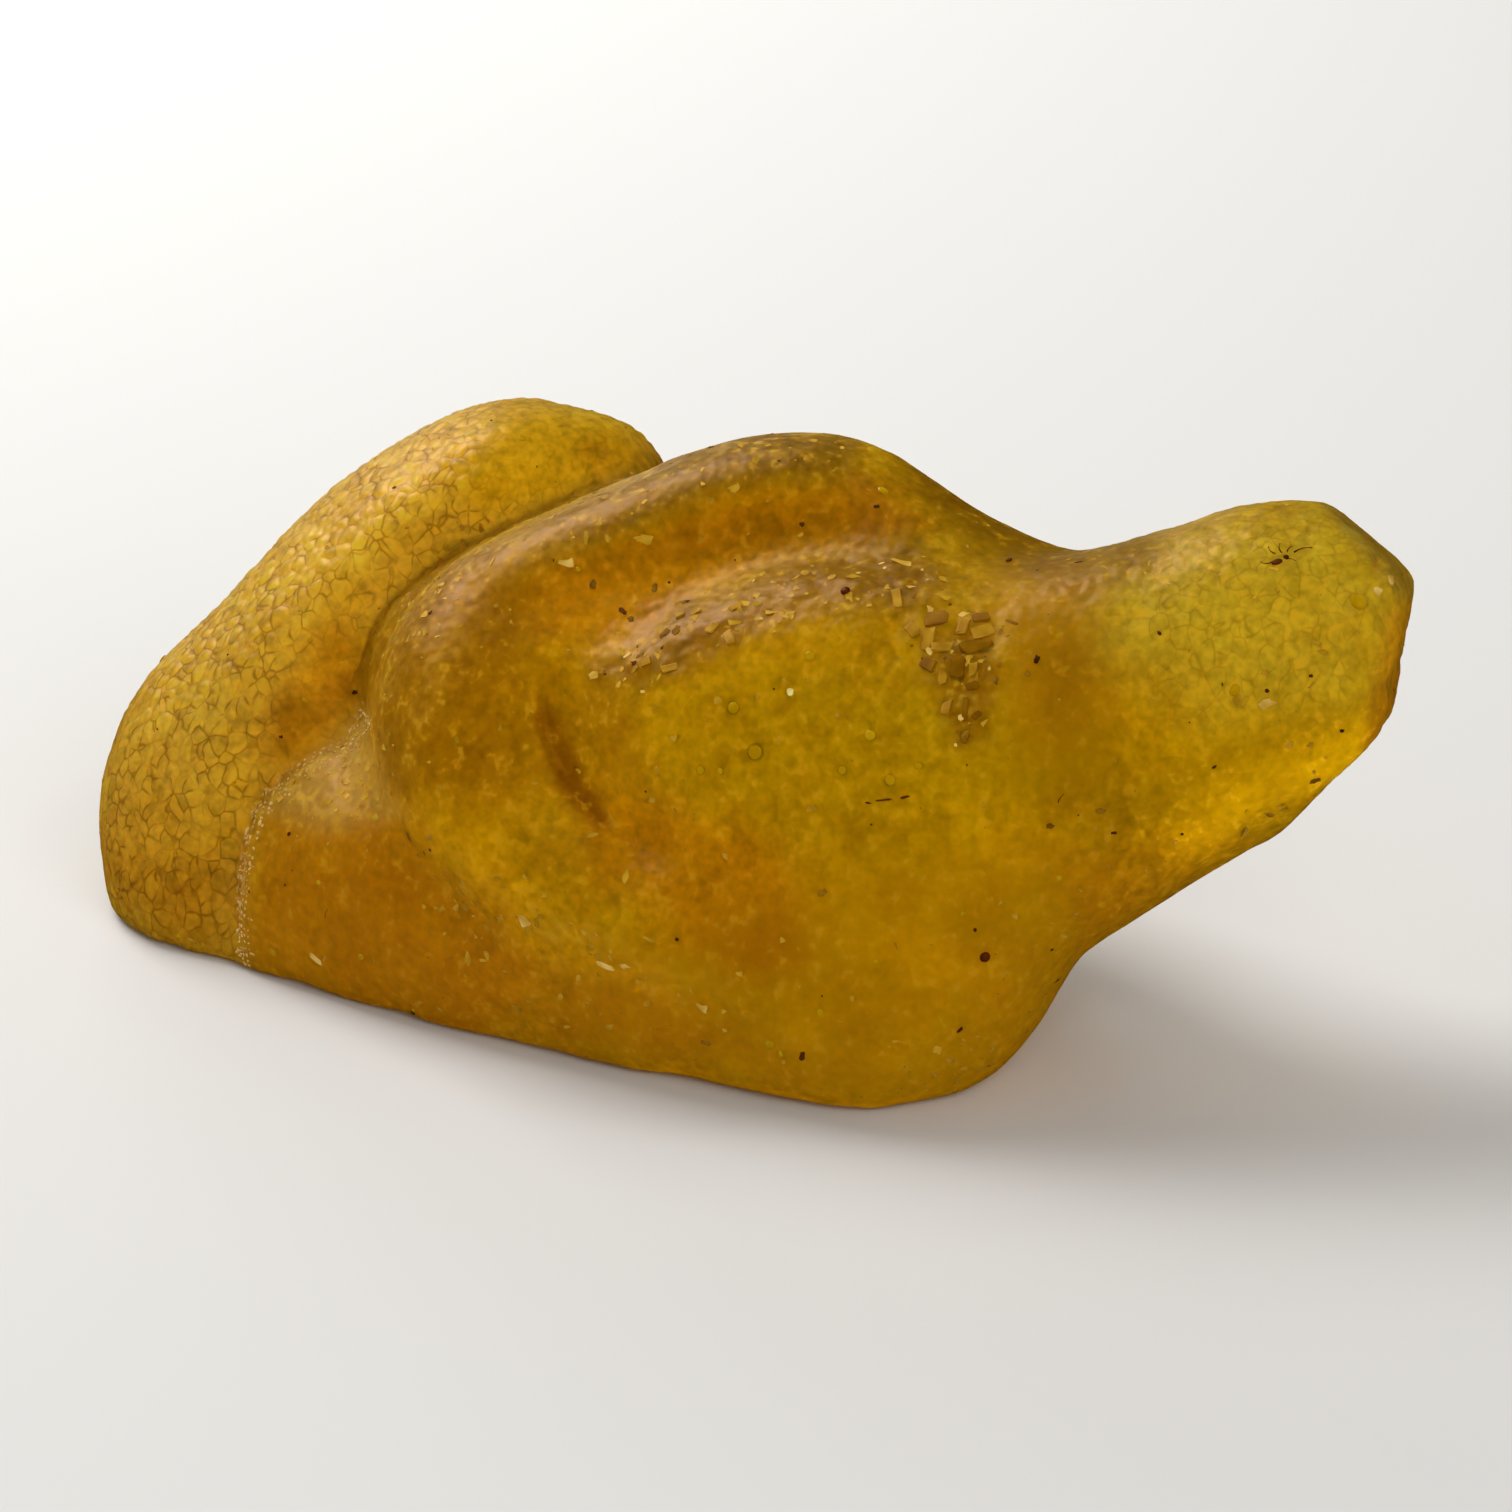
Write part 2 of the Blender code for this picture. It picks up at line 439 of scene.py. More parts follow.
def selected_alone(piece: bpy.types.Object) -> None:
    """Leaves one piece selected and active, as the operators need."""
    if bpy.context.mode != "OBJECT":
        bpy.ops.object.mode_set(mode="OBJECT")
    bpy.ops.object.select_all(action="DESELECT")
    piece.select_set(True)
    bpy.context.view_layer.objects.active = piece


def apply_modifier(piece: bpy.types.Object, kind: str, **settings: object) -> None:
    """Adds a modifier and applies it.

    Args:
        piece: the object that is shaped.
        kind: the modifier's type.
        settings: its properties by name.
    """
    selected_alone(piece)
    modifier = piece.modifiers.new(kind.lower(), kind)
    for name, value in settings.items():
        setattr(modifier, name, value)
    bpy.ops.object.modifier_apply(modifier=modifier.name)


# Grooves of the CAD solid that the resin doesn't have, to be smoothed away before the real ones are cut
SOFTENED = (
    Patch("flank under the snout", ((700, 790), (900, 800), (1130, 840), (1190, 880), (1090, 960),
                                     (1020, 1060), (940, 1100), (700, 1080), (520, 1040), (440, 960),
                                     (500, 880), (600, 850)), 60.0),
    Patch("pit inside the fold", ((470, 640), (600, 640), (680, 740), (680, 850), (600, 880), (520, 850),
                                   (460, 760)), 60.0),
    Patch("face of the back lobe", ((130, 840), (170, 740), (240, 650), (330, 540), (420, 470), (560, 440),
                                     (640, 470), (520, 510), (430, 560), (370, 630), (350, 720), (260, 790),
                                     (235, 880), (225, 940), (170, 930)), 50.0),
    Patch("foot of the slab", ((330, 850), (480, 900), (700, 1000), (800, 1080), (600, 1060), (400, 1010),
                                (300, 960)), 50.0),
)


FOLD_EDGE = ((505, 925), (450, 882), (410, 838), (385, 785), (370, 735), (367, 690), (374, 640), (400, 600),
             (450, 560), (520, 525), (600, 490), (664, 463))
SLAB_EDGE = ((246, 985), (243, 900), (250, 840), (262, 805), (300, 770), (350, 740), (368, 712))
CRESCENT = ((668, 885), (612, 842), (575, 800), (546, 750), (536, 700), (545, 655))

# The big forms, pulled on the coarse mesh: where the folds lie over each other
BACK_LOBE_EDGE = ((1370, 1085), (1290, 1010), (1200, 950), (1080, 895), (960, 860), (870, 815), (815, 760),
                  (796, 700), (820, 640), (880, 605))
BACK_ROLL_EDGE = ((900, 1040), (780, 1000), (660, 950), (580, 880), (545, 790), (560, 690), (590, 600),
                  (600, 520))

FORMS = (
    Stroke("face of the back lobe", Touch.SWELL, 2.3, 0.6, ((185, 830), (250, 690), (335, 590), (430, 505),
                                                             (560, 440))),
    Stroke("limb of the fold", Touch.SWELL, 2.2, 0.6, ((500, 600), (450, 690), (462, 780), (520, 850),
                                                        (610, 910), (700, 960))),
    Stroke("rim of the fold", Touch.SWELL, 1.7, 0.35, ((480, 600), (540, 548), (640, 505), (740, 470),
                                                        (840, 462))),
    Stroke("hollow under the rim", Touch.SWELL, 1.7, -0.28, ((540, 660), (610, 618), (700, 572), (790, 540),
                                                             (890, 530))),
    Stroke("top of the tongue", Touch.SWELL, 1.9, 0.2, ((600, 720), (680, 660), (780, 620), (880, 600),
                                                          (980, 605))),
    Stroke("flank below the tongue", Touch.SWELL, 2.4, -0.4, ((600, 840), (690, 870), (800, 890))),
    Stroke("lobe behind the fold", Touch.TUCK, 0.6, 1.35, FOLD_EDGE[4:], 2.3),
    Stroke("slab behind the fold", Touch.TUCK, 0.6, 0.8, FOLD_EDGE[:7], 2.6),
    Stroke("tongue behind the limb", Touch.TUCK, 0.9, 0.85, CRESCENT[::-1], 3.0),
    Stroke("back: body behind the lobe", Touch.TUCK, 0.7, 0.9, BACK_LOBE_EDGE, 2.6, BEHIND),
    Stroke("back: roll over the neck", Touch.TUCK, 0.9, 0.7, BACK_ROLL_EDGE, 3.0, BEHIND),
    Stroke("back: dent", Touch.SWELL, 1.8, -0.45, ((640, 740), (720, 790), (800, 880)), view=BEHIND),
    Stroke("back: ridge on the lobe", Touch.SWELL, 2.0, 0.3, ((960, 700), (1100, 780), (1250, 900)),
           view=BEHIND),
    Stroke("back: dimple of the snout", Touch.SWELL, 1.5, -0.3, ((250, 620), (330, 640)), view=BEHIND),
)

# The finer forms, pulled on the fine mesh
RELIEF = (
    Stroke("end facet of the snout", Touch.TUCK, 1.2, 0.8, ((1392, 555), (1384, 600), (1376, 660),
                                                            (1364, 730),
                                                             (1350, 775)), 5.0),
    Stroke("chip at the top of the snout", Touch.TUCK, 0.9, 0.5, ((1300, 494), (1330, 512), (1362, 542),
                                                                   (1394, 580), (1404, 620)), 5.0),
    Stroke("notch below the snout's end", Touch.SWELL, 0.45, -0.16, ((1352, 792), (1366, 776))),
    Stroke("scallop in the chip", Touch.SWELL, 0.5, -0.14, ((1376, 560), (1388, 574))),
    Stroke("lobe at the fold's edge", Touch.TUCK, 0.25, 0.55, FOLD_EDGE[4:], 0.9),
    Stroke("slab at the fold's edge", Touch.TUCK, 0.25, 0.3, FOLD_EDGE[:7], 0.8),
    Stroke("tongue at the limb's edge", Touch.TUCK, 0.35, 0.25, CRESCENT[:0:-1], 0.9),
    Stroke("lobe at the slab's edge", Touch.TUCK, 0.22, 0.5, SLAB_EDGE, 2.4),
    Stroke("back: body at the lobe's edge", Touch.TUCK, 0.3, 0.35, BACK_LOBE_EDGE, 1.0, BEHIND),
    Stroke("back: body at the roll's edge", Touch.TUCK, 0.35, 0.25, BACK_ROLL_EDGE, 1.0, BEHIND),
    Stroke("back: scratch", Touch.CREASE, 0.35, 0.05, ((660, 900), (760, 930), (860, 935)), view=BEHIND),
    Stroke("line along the neck", Touch.CREASE, 0.4, 0.035, ((850, 800), (900, 797), (960, 812), (1040, 808),
                                                            (1150, 820))),
)


@dataclass(frozen=True)
class Tint:
    """One colour laid over the amber's own, within patches of the picture."""

    name: str
    colour: str
    patches: tuple[Patch, ...]


HONEY = "d6a800"
LOBE = ((90, 820), (108, 740), (172, 635), (240, 555), (340, 445), (470, 392), (595, 388), (656, 436),
        (664, 463), (600, 490), (520, 525), (450, 560), (400, 600), (374, 640), (367, 690), (368, 712),
        (300, 770), (262, 805), (250, 840), (243, 900), (246, 985), (140, 970), (92, 890))
SLAB = ((246, 985), (243, 900), (250, 840), (262, 805), (300, 770), (368, 712), (385, 785), (410, 838),
        (450, 882), (505, 925), (560, 990), (470, 1045), (300, 1000))
FOLD_RIM = ((368, 650), (396, 594), (448, 552), (520, 517), (600, 482), (664, 455), (760, 424), (866, 430),
            (850, 470), (740, 485), (640, 520), (540, 560), (470, 600), (430, 650), (410, 700), (405, 790),
            (380, 790), (360, 700))
LEDGE = ((600, 672), (650, 640), (700, 604), (760, 576), (830, 556), (910, 548), (960, 580), (900, 606),
         (800, 612), (730, 640), (690, 668), (640, 690))
PITS = ((885, 600), (960, 590), (1005, 615), (1010, 660), (990, 740), (955, 745), (930, 700), (900, 660))

BACK_LOBE = ((800, 650), (880, 604), (1010, 585), (1150, 640), (1300, 750), (1420, 880), (1450, 1000),
             (1400, 1130), (1330, 1100), (1200, 950), (1080, 895), (960, 860), (870, 815), (810, 750))
BACK_PITS = ((625, 640), (690, 625), (730, 660), (715, 720), (660, 745), (630, 700))
BACK_FOLD = ((790, 690), (830, 700), (880, 790), (980, 840), (1100, 880), (1090, 920), (960, 885), (850, 830),
             (800, 770))

TINTS = (
    Tint("pale skin of the back lobe", "f8ca40", (
        Patch("lobe", LOBE, 40.0, 0.85), Patch("back of the lobe", BACK_LOBE, 70.0, 0.75, BEHIND))),
    Tint("honey foot of the lobe", "e4a010", (
        Patch("foot", ((88, 840), (160, 830), (250, 850), (246, 990), (140, 975), (88, 890)), 110.0, 0.8),)),
    Tint("clear yellow top of the lobe", "e0b400", (
        Patch("lobe top", ((450, 430), (490, 404), (600, 398), (650, 440), (664, 463), (560, 505), (480, 520),
                            (450, 480)), 50.0, 0.85),)),
    # Deep orange resin on the slab, the stain, the foot, the snout's end and the back; painted shade under
    # the rim, on the flank below the tongue, in the neck and under the snout
    Tint("deep orange resin", "d89000", (
        Patch("slab", SLAB, 60.0, 0.85),
        # Painted shade on the band under the overhanging rim
        Patch("band under the rim", ((470, 610), (540, 570), (660, 530), (760, 490), (870, 480), (930, 520),
                                     (880, 545), (780, 555), (700, 590), (620, 640), (540, 640)), 40.0, 0.7),
        # Painted shade on the flank below the tongue
        Patch("flank below the tongue", ((560, 780), (650, 800), (760, 830), (800, 880), (800, 960),
                                         (740, 980), (660, 920), (590, 860)), 60.0, 0.7),
        Patch("stain on the lobe", ((270, 700), (330, 620), (375, 640), (366, 700), (300, 770), (265, 760)),
              50.0, 0.8),
        Patch("foot of the fold", ((430, 980), (560, 960), (700, 1000), (760, 1060), (640, 1060),
                                    (480, 1030)), 50.0, 0.5),
        # Painted shade in the neck's hollow
        Patch("neck", ((1010, 560), (1080, 550), (1130, 620), (1090, 720), (1010, 740), (1000, 640)), 90.0,
              0.3),
        Patch("end of the snout", ((1384, 612), (1430, 590), (1420, 700), (1390, 750), (1362, 745)), 22.0,
              1.0),
        Patch("back: body", ((600, 560), (780, 600), (790, 760), (900, 900), (1150, 960), (1250, 1080),
                              (1000, 1120), (760, 1060), (640, 940), (590, 760)), 120.0, 0.55, BEHIND),
        Patch("back: foot", ((440, 900), (560, 960), (760, 1020), (900, 1060), (800, 1100), (560, 1040),
                              (450, 980)), 60.0, 0.5, BEHIND),
        # Painted shade under the snout
        Patch("under the snout", ((1060, 860), (1200, 830), (1260, 835), (1160, 900), (1080, 950)), 50.0,
              0.5),
    )),
    Tint("olive depth of the tongue", "c8a600", (
        Patch("tongue", ((640, 700), (800, 660), (1000, 700), (1060, 780), (980, 860), (800, 850),
                         (660, 790)), 80.0, 0.8),)),
    Tint("pale snout", "dec632", (
        Patch("snout top", ((1100, 560), (1200, 525), (1320, 500), (1400, 580), (1360, 700), (1200, 720),
                             (1100, 650)), 90.0, 0.85),)),
    # Brown of the pits and the knot under the rim, and painted shade in the crescent crease and along the
    # folds
    Tint("brown of the folds", "8a5000", (
        # Painted shadow in the crescent crease, where the limb overlaps the tongue
        Patch("crescent", ((528, 715), (548, 695), (572, 740), (592, 785), (614, 820), (600, 834),
                            (556, 790)), 22.0, 0.85),
        Patch("pits", ((930, 640), (975, 640), (1000, 660), (985, 740), (955, 745), (940, 690)), 34.0, 0.7),
        Patch("back: fold", BACK_FOLD, 26.0, 0.5, BEHIND),
        Patch("back: pits", BACK_PITS, 30.0, 0.6, BEHIND),
        # Painted shade beside the crescent
        Patch("shade by the crescent", ((560, 690), (620, 690), (640, 760), (600, 780), (560, 750)), 50.0,
              0.3),
        Patch("knot under the rim", ((640, 600), (690, 590), (700, 625), (660, 650), (630, 640)), 24.0, 0.5),
    )),
    Tint("shaded underside of the snout", "8c6800", (
        Patch("underside", ((1120, 805), (1180, 765), (1280, 745), (1350, 700), (1400, 680), (1390, 760),
                            (1340, 800), (1250, 845), (1150, 870)), 70.0, 0.5),)),
    Tint("weathered rim", "8e6a04", (
        Patch("fold rim", FOLD_RIM, 34.0, 0.8),)),
    Tint("frosted chip of the snout", "a8943c", (
        Patch("chip", ((1318, 496), (1350, 492), (1420, 570), (1420, 606), (1392, 590), (1340, 530)), 16.0,
              0.6),)),
    Tint("frosted corner of the slab", "e2b650", (
        Patch("slab's top", ((266, 806), (303, 768), (366, 712), (384, 785), (396, 812), (330, 830)), 44.0,
              0.75),)),
    # Painted shade: darkens the limb of the fold, the ledge and the neck, seen from the front and from behind
    Tint("dull limb of the fold", "a87a00", (
        Patch("back: neck", ((400, 520), (560, 520), (560, 700), (500, 860), (400, 840)), 90.0, 0.45, BEHIND),
        Patch("limb", ((376, 640), (450, 572), (540, 560), (530, 640), (528, 710), (546, 770), (500, 810),
                        (405, 790), (372, 715)), 70.0, 0.9),
        Patch("ledge", LEDGE, 50.0, 0.9),
        Patch("neck", ((1010, 540), (1075, 535), (1110, 640), (1080, 760), (1000, 770)), 110.0, 0.3))),
    # Painted shade that tones down the ledge and the neck's saddle, tops that face the key light
    Tint("dull tops that face the light", "805c00", (
        Patch("ledge", LEDGE, 50.0, 0.65),
        Patch("saddle of the neck", ((900, 450), (960, 480), (1040, 520), (1150, 520), (1170, 560),
                                     (1090, 600),
                                      (1000, 570), (920, 510)), 50.0, 0.6))),
)

DUSTY = (
    Patch("slab's top", ((262, 805), (300, 765), (366, 710), (385, 785), (400, 815), (340, 815), (285, 815)),
          26.0, 0.9),
    Patch("fold rim", FOLD_RIM, 40.0, 0.4),
    Patch("limb", ((400, 640), (470, 560), (500, 560), (470, 640), (450, 720), (410, 720)), 40.0, 0.5),
    Patch("ledge", LEDGE, 26.0, 0.1),
    Patch("pits", PITS, 36.0, 0.5),
    Patch("streaks on the arm", ((440, 850), (520, 880), (640, 930), (720, 990), (690, 1010), (560, 970),
                                  (460, 900)), 50.0, 0.4),
    Patch("end of the lobe", ((560, 400), (620, 405), (660, 450), (650, 465), (600, 430)), 20.0, 0.3),
    Patch("back: fold", BACK_FOLD, 40.0, 0.6, BEHIND),
    Patch("back: pits", BACK_PITS, 30.0, 0.5, BEHIND),
    Patch("back: top of the roll", ((600, 500), (700, 485), (860, 530), (980, 585), (860, 600), (700, 560)),
          50.0, 0.4, BEHIND),
)
CRACKLED = (
    Patch("lobe", LOBE, 30.0, 1.0),
    Patch("back of the lobe", BACK_LOBE, 50.0, 0.9, BEHIND),
    Patch("back: top of the snout", ((110, 470), (250, 445), (420, 490), (430, 600), (300, 680), (160, 660)),
          90.0, 0.5, BEHIND),
    Patch("snout top", ((1090, 540), (1200, 520), (1320, 495), (1400, 580), (1340, 720), (1150, 720)), 90.0,
          0.5),
)
# Where the resin is smoother in colour than elsewhere
CALM = (
    Patch("foot of the fold", ((560, 960), (760, 900), (900, 850), (1100, 850), (1060, 980), (960, 1110),
                                (760, 1080), (560, 1050)), 80.0, 1.0),
    Patch("neck", ((1000, 540), (1090, 540), (1130, 700), (1100, 800), (1000, 800)), 80.0, 1.0),
    Patch("slab", SLAB, 40.0, 0.5),
    Patch("back: body", ((600, 560), (780, 600), (790, 760), (900, 900), (1000, 1000), (760, 1060),
                          (640, 940)), 90.0, 0.6, BEHIND),
)
# Where the skin stays smooth although it lies within a crackled patch
UNCRACKLED = (
    Patch("clear top", ((470, 440), (490, 404), (600, 398), (650, 440), (664, 463), (580, 500), (500, 500)),
          50.0, 0.75),
    Patch("stain", ((270, 700), (330, 620), (375, 640), (366, 700), (300, 770), (265, 760)), 50.0, 0.8),
)
CRUMBLED = (
    Patch("ledge", LEDGE, 24.0, 0.5),
    Patch("pits", PITS, 40.0, 1.0),
    Patch("slab's top", ((262, 805), (300, 765), (366, 710), (385, 785), (340, 800)), 20.0, 0.35),
    Patch("knot under the rim", ((590, 580), (690, 580), (710, 625), (660, 670), (600, 680)), 30.0, 0.5),
    Patch("back: pits", BACK_PITS, 30.0, 0.8, BEHIND),
    Patch("broken corner", ((1355, 560), (1392, 545), (1414, 590), (1400, 612), (1362, 600)), 14.0, 0.6),
)


def add_node(tree: bpy.types.NodeTree, kind: str, links: dict | None = None,
             **settings: object) -> bpy.types.Node:
    """Adds a node with its settings and links.

    Args:
        tree: the node tree it goes in.
        kind: the node's type.
        links: for each input, by name or number, a socket that feeds it or a plain value.
        settings: the node's own properties.
    Returns:
        The node.
    """
    node = tree.nodes.new(kind)
    for name, value in settings.items():
        setattr(node, name, value)
    for name, value in (links or {}).items():
        if isinstance(value, bpy.types.NodeSocket):
            tree.links.new(value, node.inputs[name])
        else:
            node.inputs[name].default_value = value
    return node


def per_metre(size: float) -> float:
    """A pattern's scale, from how wide its features are in millimetres."""
    return 1.0 / (size * MM)


@dataclass(frozen=True)
class Crackle:
    """The fine net of cracks that weathering leaves in amber's skin, sizes in millimetres.

    The same nodes draw it in the material and carve it in the mesh, so that the two agree. The cells
    bulge like small pillows, and upright says how much taller than wide they are.
    """

    cell: float = 0.58
    upright: float = 1.3
    width: float = 0.055
    wander: float = 0.42
    wander_size: float = 0.77
    depth: float = 0.07
    pillow: float = 0.34
    faintest: float = 0.25

    def edges(self, tree: bpy.types.NodeTree,
              place: bpy.types.NodeSocket) -> tuple[bpy.types.NodeSocket, ...]:
        """Adds the nodes that find the cells' edges.

        Args:
            tree: the material's or the mesh's node tree.
            place: the position on the skin, in metres.
        Returns:
            The distance to the nearest edge as a share of a cell, a slow wandering value, and the place
            that the wandering has moved.
        """
        wander = add_node(tree, "ShaderNodeTexNoise", {
            "Vector": place, "Scale": per_metre(self.wander_size), "Detail": 0.0})
        shaken = add_node(tree, "ShaderNodeVectorMath", {
            0: wander.outputs["Color"], "Scale": self.wander * MM}, operation="SCALE").outputs["Vector"]
        moved = add_node(tree, "ShaderNodeVectorMath", {0: place, 1: (1.0, 1.0, 1 / self.upright), 2: shaken},
                         operation="MULTIPLY_ADD").outputs["Vector"]
        edge = add_node(tree, "ShaderNodeTexVoronoi", {"Vector": moved, "Scale": per_metre(self.cell)},
                        feature="DISTANCE_TO_EDGE").outputs["Distance"]
        return edge, wander.outputs["Fac"], moved

    def lines(self, tree: bpy.types.NodeTree, edge: bpy.types.NodeSocket,
              wander: bpy.types.NodeSocket) -> bpy.types.NodeSocket:
        """Adds the nodes that draw the cracks.

        Args:
            tree: the material's node tree.
            edge: the distance to the nearest edge.
            wander: the slow value by which cracks fade.
        Returns:
            A value that is 1 in a crack and 0 beside it, and less where a crack fades.
        """
        gap = self.width / self.cell
        line = add_node(tree, "ShaderNodeMapRange", {
            "Value": edge, "From Min": gap * 0.1, "From Max": gap, "To Min": 1.0, "To Max": 0.0})
        broken = add_node(tree, "ShaderNodeMapRange", {
            "Value": wander, "From Min": 0.4, "From Max": 0.56, "To Min": self.faintest, "To Max": 1.0})
        return add_node(tree, "ShaderNodeMath", {0: line.outputs["Result"], 1: broken.outputs["Result"]},
                        operation="MULTIPLY").outputs["Value"]

    def carver(self) -> bpy.types.NodeTree:
        """The geometry nodes that raise the cells as small pillows, where a mesh has a crackle attribute."""
        tree = bpy.data.node_groups.new("crackle carver", "GeometryNodeTree")
        tree.interface.new_socket("Geometry", in_out="INPUT", socket_type="NodeSocketGeometry")
        tree.interface.new_socket("Geometry", in_out="OUTPUT", socket_type="NodeSocketGeometry")
        shape = add_node(tree, "NodeGroupInput").outputs["Geometry"]
        place = add_node(tree, "GeometryNodeInputPosition").outputs["Position"]
        normal = add_node(tree, "GeometryNodeInputNormal").outputs["Normal"]
        strength = add_node(tree, "GeometryNodeInputNamedAttribute", {"Name": "crackle"},
                            data_type="FLOAT").outputs["Attribute"]
        edge, _, _ = self.edges(tree, place)
        sunk = add_node(tree, "ShaderNodeMapRange", {
            "Value": edge, "From Min": 0.0, "From Max": self.pillow,
            "To Min": -self.depth * MM, "To Max": 0.0}, interpolation_type="SMOOTHSTEP").outputs["Result"]
        height = add_node(tree, "ShaderNodeMath", {0: sunk, 1: strength},
                          operation="MULTIPLY").outputs["Value"]
        move = add_node(tree, "ShaderNodeVectorMath", {0: normal, "Scale": height}, operation="SCALE")
        moved = add_node(tree, "GeometryNodeSetPosition", {
            "Geometry": shape, "Offset": move.outputs["Vector"]})
        add_node(tree, "NodeGroupOutput", {"Geometry": moved.outputs["Geometry"]})
        return tree


@dataclass(frozen=True)
class AmberFinish:
    """Raw amber: cloudy fossil resin, seen through a dull, weathered skin that is finely crackled.

    It gives the eye a honey-yellow glow that deepens where the lump is thick, a soft waxy gloss in place of
    glitter, thin brown cracks and a mottled, here and there frosted skin. Sizes are in millimetres.
    """

    crackle: Crackle
    roughness: float = 0.38
    dust_roughness: float = 0.3
    ior: float = 1.54
    shine: float = 0.25
    shine_colour: str = "ffb020"
    transmission: float = 0.56
    dusty_transmission: float = 0.05
    depth_colour: str = "fff040"
    depth_per_metre: float = 130.0
    glow: float = 0.7
    glow_radius: tuple[float, float, float] = (5.0, 2.4, 0.3)
    crack_colour: str = "8a5204"
    crack_strength: float = 0.72
    grain: float = 0.42
    cell_contrast: float = 0.09
    mottling: tuple[float, float] = (0.72, 1.24)
    fleck_colour: str = "eec224"
    fleck_strength: float = 0.6
    dust_colour: str = "c4982c"
    frost: float = 0.43
    frost_depth: float = 0.05

    def make(self) -> bpy.types.Material:
        """The material's node tree."""
        material = bpy.data.materials.new("cloudy honey amber")
        material.use_nodes = True
        tree = material.node_tree
        tree.nodes.clear()
        place = add_node(tree, "ShaderNodeTexCoord").outputs["Object"]
        tone = add_node(tree, "ShaderNodeAttribute", attribute_name="tone").outputs["Color"]
        dust = add_node(tree, "ShaderNodeAttribute", attribute_name="dust").outputs["Fac"]
        crackled = add_node(tree, "ShaderNodeAttribute", attribute_name="crackle").outputs["Fac"]
        grainy = add_node(tree, "ShaderNodeAttribute", attribute_name="grainy").outputs["Fac"]

        # Cracks of the skin are thin and darker, as they hold dirt
        edge, wander, moved = self.crackle.edges(tree, place)
        lines = self.crackle.lines(tree, edge, wander)
        cracked = add_node(tree, "ShaderNodeMath", {0: lines, 1: crackled},
                           operation="MULTIPLY").outputs["Value"]
        dark = add_node(tree, "ShaderNodeMath", {0: cracked, 1: self.crack_strength},
                        operation="MULTIPLY").outputs["Value"]
        coloured = add_node(tree, "ShaderNodeMix", {0: dark, 6: tone, 7: linear(self.crack_colour)},
                            data_type="RGBA").outputs[2]

        # Each cell of the net has its own depth of colour, and a fine grain mottles the resin
        cells = add_node(tree, "ShaderNodeTexVoronoi", {
            "Vector": moved, "Scale": per_metre(self.crackle.cell)}).outputs["Color"]
        grain = add_node(tree, "ShaderNodeTexNoise", {
            "Vector": place, "Scale": per_metre(self.grain), "Detail": 1.5, "Roughness": 0.7}).outputs["Fac"]
        cell_depth = add_node(tree, "ShaderNodeMapRange", {
            "Value": cells, "From Min": 0.2, "From Max": 0.8,
            "To Min": -self.cell_contrast, "To Max": self.cell_contrast}).outputs["Result"]
        mottled = add_node(tree, "ShaderNodeMapRange", {
            "Value": grain, "From Min": 0.28, "From Max": 0.72,
            "To Min": self.mottling[0], "To Max": self.mottling[1]}).outputs["Result"]
        mottled = add_node(tree, "ShaderNodeMath", {0: mottled, 1: cell_depth}).outputs["Value"]
        coloured = add_node(tree, "ShaderNodeMix", {0: grainy, 6: coloured, 7: mottled}, data_type="RGBA",
                            blend_type="MULTIPLY").outputs[2]

        # Frosted flecks: the grain's peaks within a few cells
        peaks = add_node(tree, "ShaderNodeMapRange", {
            "Value": grain, "From Min": 0.55, "From Max": 0.68}).outputs["Result"]
        chosen = add_node(tree, "ShaderNodeMapRange", {
            "Value": cells, "From Min": 0.5, "From Max": 0.66,
            "To Max": self.fleck_strength}).outputs["Result"]
        flecks = add_node(tree, "ShaderNodeMath", {0: peaks, 1: chosen},
                          operation="MULTIPLY").outputs["Value"]
        coloured = add_node(tree, "ShaderNodeMix", {0: flecks, 6: coloured, 7: linear(self.fleck_colour)},
                            data_type="RGBA").outputs[2]

        # Dust lies between the grains
        grains = add_node(tree, "ShaderNodeMapRange", {
            "Value": grain, "From Min": 0.4, "From Max": 0.64, "To Min": 0.15}).outputs["Result"]
        dusty = add_node(tree, "ShaderNodeMath", {0: dust, 1: grains}, operation="MULTIPLY").outputs["Value"]
        coloured = add_node(tree, "ShaderNodeMix", {0: dusty, 6: coloured, 7: linear(self.dust_colour)},
                            data_type="RGBA").outputs[2]

        # Relief too fine for the mesh: a frosted, slightly lumpy skin
        frost = add_node(tree, "ShaderNodeTexNoise", {
            "Vector": place, "Scale": per_metre(self.frost), "Detail": 0.0}).outputs["Fac"]
        bump = add_node(tree, "ShaderNodeBump", {
            "Strength": 1.0, "Distance": self.frost_depth * MM, "Height": frost}).outputs["Normal"]
        rough = add_node(tree, "ShaderNodeMath", {0: dusty, 1: self.dust_roughness, 2: self.roughness},
                         operation="MULTIPLY_ADD").outputs["Value"]
        clear = add_node(tree, "ShaderNodeMapRange", {
            "Value": dusty, "To Min": self.transmission, "To Max": self.dusty_transmission}).outputs["Result"]
        shader = add_node(tree, "ShaderNodeBsdfPrincipled", {
            "Base Color": coloured, "Roughness": rough, "IOR": self.ior, "Normal": bump,
            "Transmission Weight": clear, "Subsurface Weight": self.glow,
            "Subsurface Radius": self.glow_radius, "Subsurface Scale": MM, "Specular IOR Level": self.shine,
            "Specular Tint": linear(self.shine_colour)})
        depth = add_node(tree, "ShaderNodeVolumeAbsorption", {
            "Color": linear(self.depth_colour), "Density": self.depth_per_metre})
        add_node(tree, "ShaderNodeOutputMaterial", {
            "Surface": shader.outputs["BSDF"], "Volume": depth.outputs["Volume"]})
        return material


